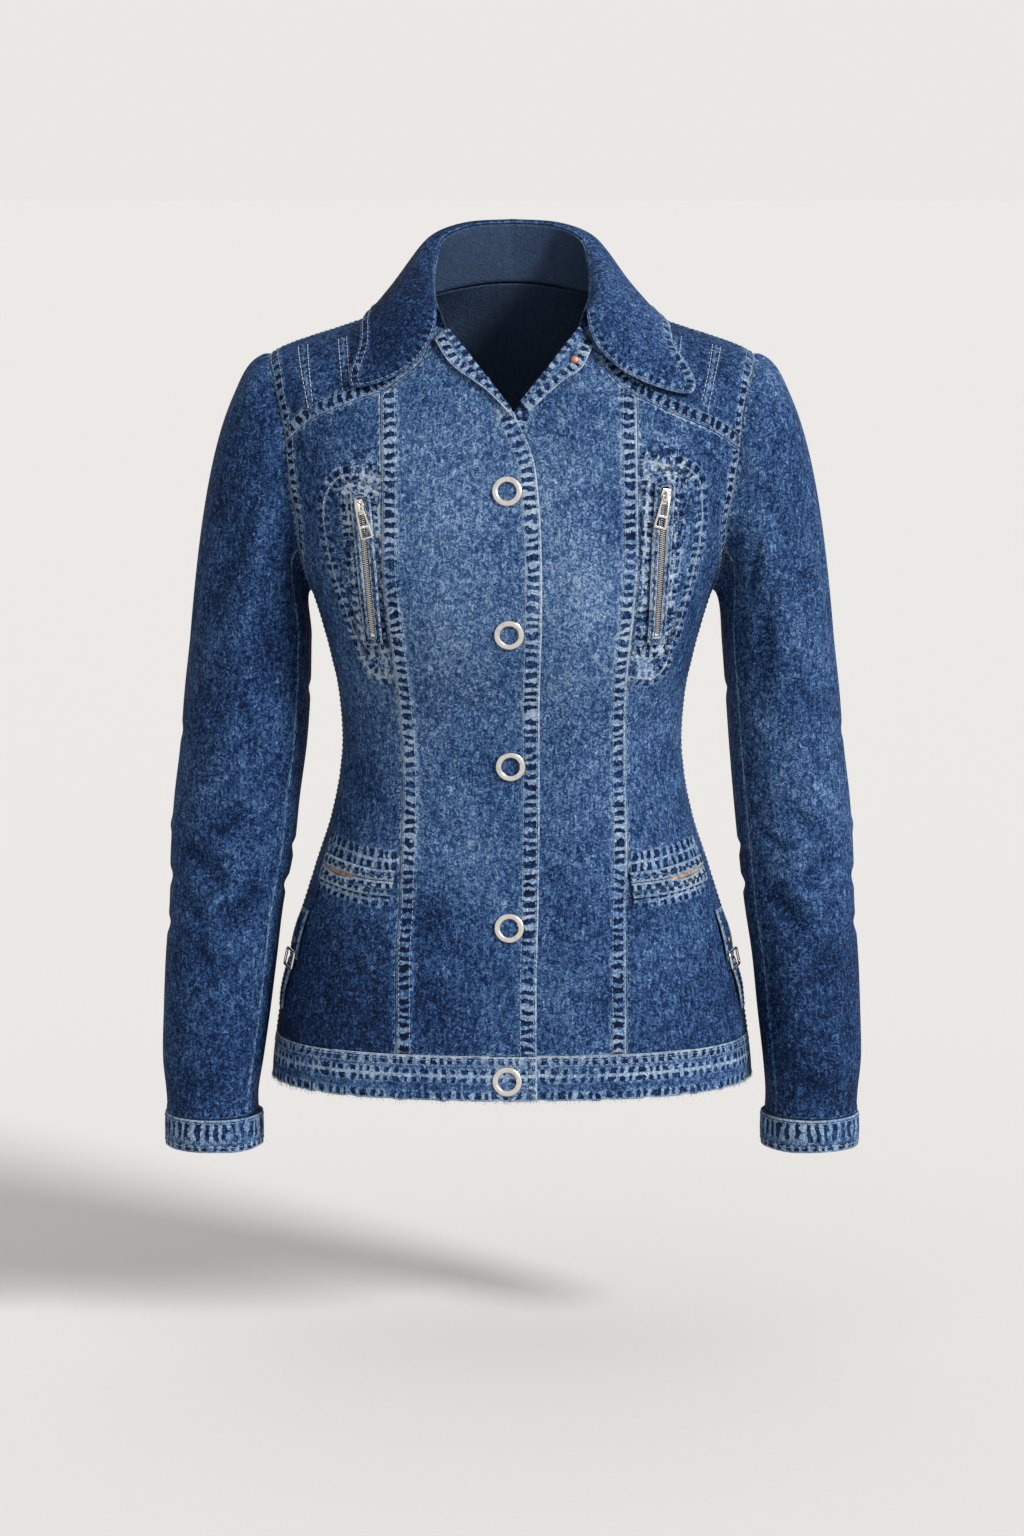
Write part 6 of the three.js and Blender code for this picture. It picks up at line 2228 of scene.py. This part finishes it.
class Shader:
    """Builds one material's nodes."""

    def __init__(self, name: str) -> None:
        """Makes an empty material."""
        self.material = bpy.data.materials.new(name)
        self.material.use_nodes = True
        self.tree = self.material.node_tree
        self.skin = self.tree.nodes["Principled BSDF"]

    def node(self, kind: str, settings: dict | None = None, inputs: dict | None = None
             ) -> bpy.types.Node:
        """Adds a node: its type, its settings, then its inputs.

        Args:
            kind: Kind of the panel, node or cut.
            settings: Settings of the node, made first.
            inputs: Values or links of its sockets.

        Returns:
            The node.
        """
        made = self.tree.nodes.new(kind)
        for key, value in (settings or {}).items():
            setattr(made, key, value)
        for key, value in (inputs or {}).items():
            self.feed(made.inputs[key], value)
        return made

    def feed(self, socket: bpy.types.NodeSocket, value: object) -> None:
        """Connects a value to a socket, or sets it.

        Args:
            socket: Socket of a shader node.
            value: A number, colour or wave.
        """
        if isinstance(value, Wave):
            self.tree.links.new(value.socket, socket)
        elif isinstance(value, bpy.types.NodeSocket):
            self.tree.links.new(value, socket)
        else:
            socket.default_value = value

    def set(self, **constants: object) -> None:
        """Sets inputs of the surface, named with underscores for spaces."""
        for key, value in constants.items():
            self.feed(self.skin.inputs[key.replace("_", " ")], value)

    def attribute(self, name: str) -> Wave:
        """A mesh attribute with one value."""
        made = self.node("ShaderNodeAttribute", {"attribute_name": name})
        return Wave(self, made.outputs["Fac"])

    def parts(self, name: str) -> tuple[Wave, ...]:
        """The three values of a mesh attribute."""
        made = self.node("ShaderNodeAttribute", {"attribute_name": name})
        split = self.node("ShaderNodeSeparateXYZ", {}, {0: made.outputs["Vector"]})
        return tuple(Wave(self, s) for s in split.outputs)

    def place(self) -> bpy.types.NodeSocket:
        """Place on the object, in metres."""
        return self.node("ShaderNodeTexCoord").outputs["Object"]

    def stretched(self, scale: tuple[float, float, float], turn: tuple[float, float, float]
                  ) -> bpy.types.NodeSocket:
        """Place on the object, turned and stretched."""
        made = self.node("ShaderNodeMapping", {}, {"Vector": self.place(), "Scale": scale,
                                                   "Rotation": turn})
        return made.outputs[0]

    def noise(self, scale: float, detail: float = 2.0, distortion: float = 0.0,
              place: bpy.types.NodeSocket | None = None) -> Wave:
        """Noise from 0 to 1, with scale in waves a metre."""
        made = self.node("ShaderNodeTexNoise", {}, {
            "Vector": place or self.place(), "Scale": scale, "Detail": detail,
            "Roughness": 0.55, "Distortion": distortion})
        return Wave(self, made.outputs[0])

    def mix(self, first: object, second: object, share: Wave) -> bpy.types.NodeSocket:
        """Colour from first to second."""
        made = self.node("ShaderNodeMix", {"data_type": "RGBA"})
        self.feed(made.inputs[0], share)
        self.feed(made.inputs[6], first)
        self.feed(made.inputs[7], second)
        return made.outputs[2]

    def bump(self, height: Wave, distance: float, strength: float = 1.0) -> bpy.types.NodeSocket:
        """Normals from a height, one of which is as high as distance in metres."""
        made = self.node("ShaderNodeBump", {}, {"Strength": strength, "Distance": distance,
                                                "Height": height})
        return made.outputs[0]


@dataclass(frozen=True)
class DenimFinish:
    """Colours and sizes of washed indigo twill, in metres and linear colour."""

    night: tuple = (0.002, 0.005, 0.020, 1)
    dark: tuple = (0.004, 0.019, 0.070, 1)
    middle: tuple = (0.034, 0.086, 0.205, 1)
    pale: tuple = (0.182, 0.268, 0.392, 1)
    bare: tuple = (0.400, 0.450, 0.500, 1)
    reverse: tuple = (0.030, 0.050, 0.092, 1)
    block: float = PUCKER_LONG
    grain: float = 280.0
    crinkle: float = 200.0
    blotch: float = 38.0
    thread: float = 540.0

    def make(self) -> bpy.types.Material:
        """Denim that wears pale along its seams, ropes and edges.

        Returns:
            The material.
        """
        sh = Shader("denim")
        off, share, run = sh.parts("seam")
        rope, fade, scuff, back = (sh.attribute(n) for n in ("rope", "fade", "scuff", "reverse"))
        uneven = sh.noise(95.0, 2.0)
        grain = sh.noise(self.grain, 2.0, 1.6).step(0.34, 0.66) - 0.5
        worm = (sh.noise(self.crinkle, 1.0, 2.6) - 0.5).size().step(0.09, 0.0) - 0.45
        blotch = sh.noise(self.blotch, 3.0, 0.3) - 0.5
        thread = sh.noise(self.thread, 1.0, 0.0,
                          sh.stretched((1.0, 1.0, 0.16), (0.0, math.radians(28), 0.0))) - 0.5
        phase = (run / self.block + (uneven - 0.5) * 1.3 + grain * 0.1) * (2 * math.pi)
        block = phase.sine().step(-0.3, 0.4)
        reach = share * (0.76 + 0.5 * uneven) + grain * 0.05
        window = reach.step(0.08, 0.2) * reach.step(1.04, 0.8) * off.step(0.8, 1.6)
        roping = window * rope
        edge = off.step(1.9, 0.7) * (0.3 + 0.7 * rope) * (0.5 + 1.0 * uneven)
        fringe = ((reach - 1.0).size()).step(0.2, 0.02) * rope
        halo = share.step(1.7, 0.3) * rope
        pits = (uneven + grain * 0.12).step(0.4, 0.56) - 0.45
        # the first term is the wash together with painted light and shade: darker crease troughs, turned-away sides,
        # the right sleeve and collar
        tone = (fade + blotch * 0.15 + grain * 0.36 + worm * 0.22 + thread * 0.45
                + roping * (block - 0.5) * 0.86 + edge * 0.5 + fringe * 0.2 + halo * 0.05
                + scuff * pits * 0.42)
        tone = tone.clamp()
        colour = sh.mix(self.night, self.dark, tone.step(0.0, 0.3))
        colour = sh.mix(colour, self.middle, tone.step(0.2, 0.6))
        colour = sh.mix(colour, self.pale, tone.step(0.5, 0.9))
        colour = sh.mix(colour, self.bare, tone.step(0.84, 1.12))
        colour = sh.mix(colour, self.reverse, back * 0.85)
        height = (roping * block * 1.1 + edge * 0.5 + worm * 0.5 + grain * 0.35 + blotch * 1.2
                  + scuff * pits * 1.1)
        sh.set(Base_Color=colour, Roughness=0.84, Normal=sh.bump(height, 0.0009, 0.9),
               Specular_IOR_Level=0.1)
        return sh.material


@dataclass(frozen=True)
class MetalFinish:
    """A plated metal, a little uneven and tarnished in patches."""

    name: str
    colour: tuple
    tarnish: tuple
    roughness: float
    spots: float = 0.35

    def make(self) -> bpy.types.Material:
        """The metal's material.

        Returns:
            The material.
        """
        sh = Shader(self.name)
        cloud = sh.noise(260.0, 3.0, 0.4)
        marks = sh.noise(900.0, 2.0, 0.0)
        share = (cloud.step(0.45, 0.75) * self.spots + marks.step(0.55, 0.8) * 0.12).clamp()
        sh.set(Base_Color=sh.mix(self.colour, self.tarnish, share), Metallic=1.0,
               Roughness=(self.roughness + 0.22 * share),
               Normal=sh.bump(marks, 0.00004, 0.4))
        return sh.material


@dataclass(frozen=True)
class PlainFinish:
    """One colour with a slight grain, for thread and the stage."""

    name: str
    colour: tuple
    other: tuple
    roughness: float
    scale: float
    relief: float

    def make(self) -> bpy.types.Material:
        """The material."""
        sh = Shader(self.name)
        grain = sh.noise(self.scale, 4.0, 0.6)
        sh.set(Base_Color=sh.mix(self.colour, self.other, grain.step(0.3, 0.7)),
               Roughness=self.roughness, Normal=sh.bump(grain, self.relief, 0.6))
        return sh.material


class Finish:
    """All finishes of the scene, each made once."""

    KINDS = {f.name: f for f in (
        MetalFinish("silver", (0.74, 0.71, 0.66, 1), (0.27, 0.22, 0.17, 1), 0.2),
        MetalFinish("copper", (0.62, 0.36, 0.22, 1), (0.2, 0.11, 0.07, 1), 0.34),
        MetalFinish("rust", (0.38, 0.2, 0.13, 1), (0.12, 0.06, 0.05, 1), 0.5, 0.6),
        PlainFinish("thread_blue", (0.13, 0.19, 0.28, 1), (0.23, 0.29, 0.37, 1), 0.8, 420.0, 2e-4),
        PlainFinish("thread_pale", (0.27, 0.31, 0.35, 1), (0.42, 0.44, 0.45, 1), 0.8, 420.0, 2e-4),
        PlainFinish("lining", (0.13, 0.08, 0.05, 1), (0.32, 0.24, 0.17, 1), 0.9, 300.0, 2e-4),
        PlainFinish("pale_floor", (0.540, 0.533, 0.528, 1), (0.550, 0.543, 0.538, 1), 0.9, 240.0,
                    1e-4),
    )}
    _made: dict[str, bpy.types.Material] = {}

    @classmethod
    def named(cls, name: str) -> bpy.types.Material:
        """A finish by its name."""
        if name not in cls._made:
            cls._made[name] = cls.KINDS[name].make()
        return cls._made[name]

    @classmethod
    def denim(cls) -> bpy.types.Material:
        """The one denim, which mesh attributes lighten and darken by wash, wear and painted shade."""
        if "denim" not in cls._made:
            cls._made["denim"] = DenimFinish().make()
        return cls._made["denim"]


# ---- studio


@dataclass(frozen=True)
class Lamp:
    """A soft lamp: its kind, place, what it faces, its size and its strength.

    The size is metres across for an area lamp and degrees for a sun; the strength is watts for
    an area lamp and watts a square metre for a sun.
    """

    name: str
    kind: str
    place: tuple[float, float, float]
    target: tuple[float, float, float]
    size: float
    strength: float
    colour: tuple[float, float, float]


@dataclass
class Studio:
    """Pale floor, soft light and the camera at the photo's viewing angle."""

    camera_at: tuple[float, float, float] = (0.0, -3.2, 0.11)
    camera_to: tuple[float, float, float] = (0.0, 0.0, -0.358)
    lens_mm: float = 101.06
    floor_z: float = -0.80
    floor_half: float = 60.0
    sky: tuple[float, float, float, float] = (1.0, 0.985, 0.975, 1)
    sky_strength: float = 0.82
    lamps: tuple[Lamp, ...] = (
        Lamp("key", "SUN", (1.7, -1.35, 1.2), (0.0, 0.0, 0.0), 14.0, 4.4, (1.0, 0.985, 0.96)),
    )

    def build(self) -> None:
        """Makes the floor, the lamps, the sky and the camera."""
        self._floor()
        for lamp in self.lamps:
            self._lamp(lamp)
        self._sky()
        self._camera()
        view = bpy.context.scene.view_settings
        view.view_transform, view.look, view.exposure = "Standard", "None", 0.0

    def _floor(self) -> None:
        """One wide pale floor."""
        at = np.array([-self.floor_half, self.floor_half]) / MM
        points = np.array([[(x, y, self.floor_z / MM) for x in at] for y in at])
        floor = grid_mesh("stage_floor", points)
        floor.data.materials.append(Finish.named("pale_floor"))
        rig.stage(floor)

    @staticmethod
    def _aim(obj: bpy.types.Object, place: Sequence[float], target: Sequence[float]) -> None:
        """Puts an object in its place and turns it to its target."""
        obj.location = place
        way = Vector(target) - Vector(place)
        obj.rotation_euler = way.to_track_quat("-Z", "Y").to_euler()

    def _lamp(self, lamp: Lamp) -> None:
        """Adds one lamp.

        Args:
            lamp: The lamp.
        """
        data = bpy.data.lights.new(lamp.name, lamp.kind)
        data.energy, data.color = lamp.strength, lamp.colour
        if lamp.kind == "SUN":
            data.angle = math.radians(lamp.size)
        else:
            data.shape, data.size = "DISK", lamp.size
        obj = bpy.data.objects.new(lamp.name, data)
        obj.visible_camera = False
        bpy.context.scene.collection.objects.link(obj)
        self._aim(obj, lamp.place, lamp.target)

    def _sky(self) -> None:
        """Gives the world its plain colour."""
        world = bpy.context.scene.world or bpy.data.worlds.new("studio")
        bpy.context.scene.world = world
        world.use_nodes = True
        back = world.node_tree.nodes.get("Background")
        back.inputs["Color"].default_value = self.sky
        back.inputs["Strength"].default_value = self.sky_strength

    def _camera(self) -> None:
        """Adds the camera and makes it the scene's own."""
        data = bpy.data.cameras.new("photo_view")
        data.lens = self.lens_mm
        data.clip_end = 4 * self.floor_half
        obj = bpy.data.objects.new("photo_view", data)
        bpy.context.scene.collection.objects.link(obj)
        self._aim(obj, self.camera_at, self.camera_to)
        bpy.context.scene.camera = obj


# ---- the whole


def write_size(stage: str) -> None:
    """Notes the bounds of what shows, before and after the looks are built.

    Args:
        stage: Name of the moment, loaded or built.
    """
    path = "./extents.json"
    sizes = {}
    if stage != "loaded":
        with open(path, encoding="utf-8") as file:
            sizes = json.load(file)
    sizes[stage] = [list(map(float, corner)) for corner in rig.bounds()]
    with open(path, "w", encoding="utf-8") as file:
        json.dump(sizes, file)


def main() -> None:
    """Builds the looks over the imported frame."""
    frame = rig.load()
    write_size("loaded")
    seams = Threads("stitches_seams", "thread_blue")
    tucks = Threads("stitches_tucks", "thread_pale")
    body, hem = Body(), HemBand()
    pieces = body.patches() + Collar().patches()
    bands = hem.patches()
    for side in Side:
        chest = ChestPocket(side)
        pieces += Sleeve(side).patches() + chest.patches()
        pieces += WaistPocket(side).patches() + SideTab(side).patches()
        WaistPocket(side).dress()
        chest.dress(tucks)
    for patch in pieces + bands:
        patch.build(seams)
    Tucks.dress(tucks)
    hem.dress(bands)
    seams.build()
    tucks.build()
    Hardware().build(frame["nodes"])
    Studio().build()
    write_size("built")
    for obj in bpy.context.scene.objects:
        if obj.type == "MESH" and not obj.hide_render:
            LOG.info("piece %s: %d faces", obj.name, len(obj.data.polygons))


if __name__ == "__main__":
    logging.basicConfig(level=logging.INFO, format="%(message)s")
    main()
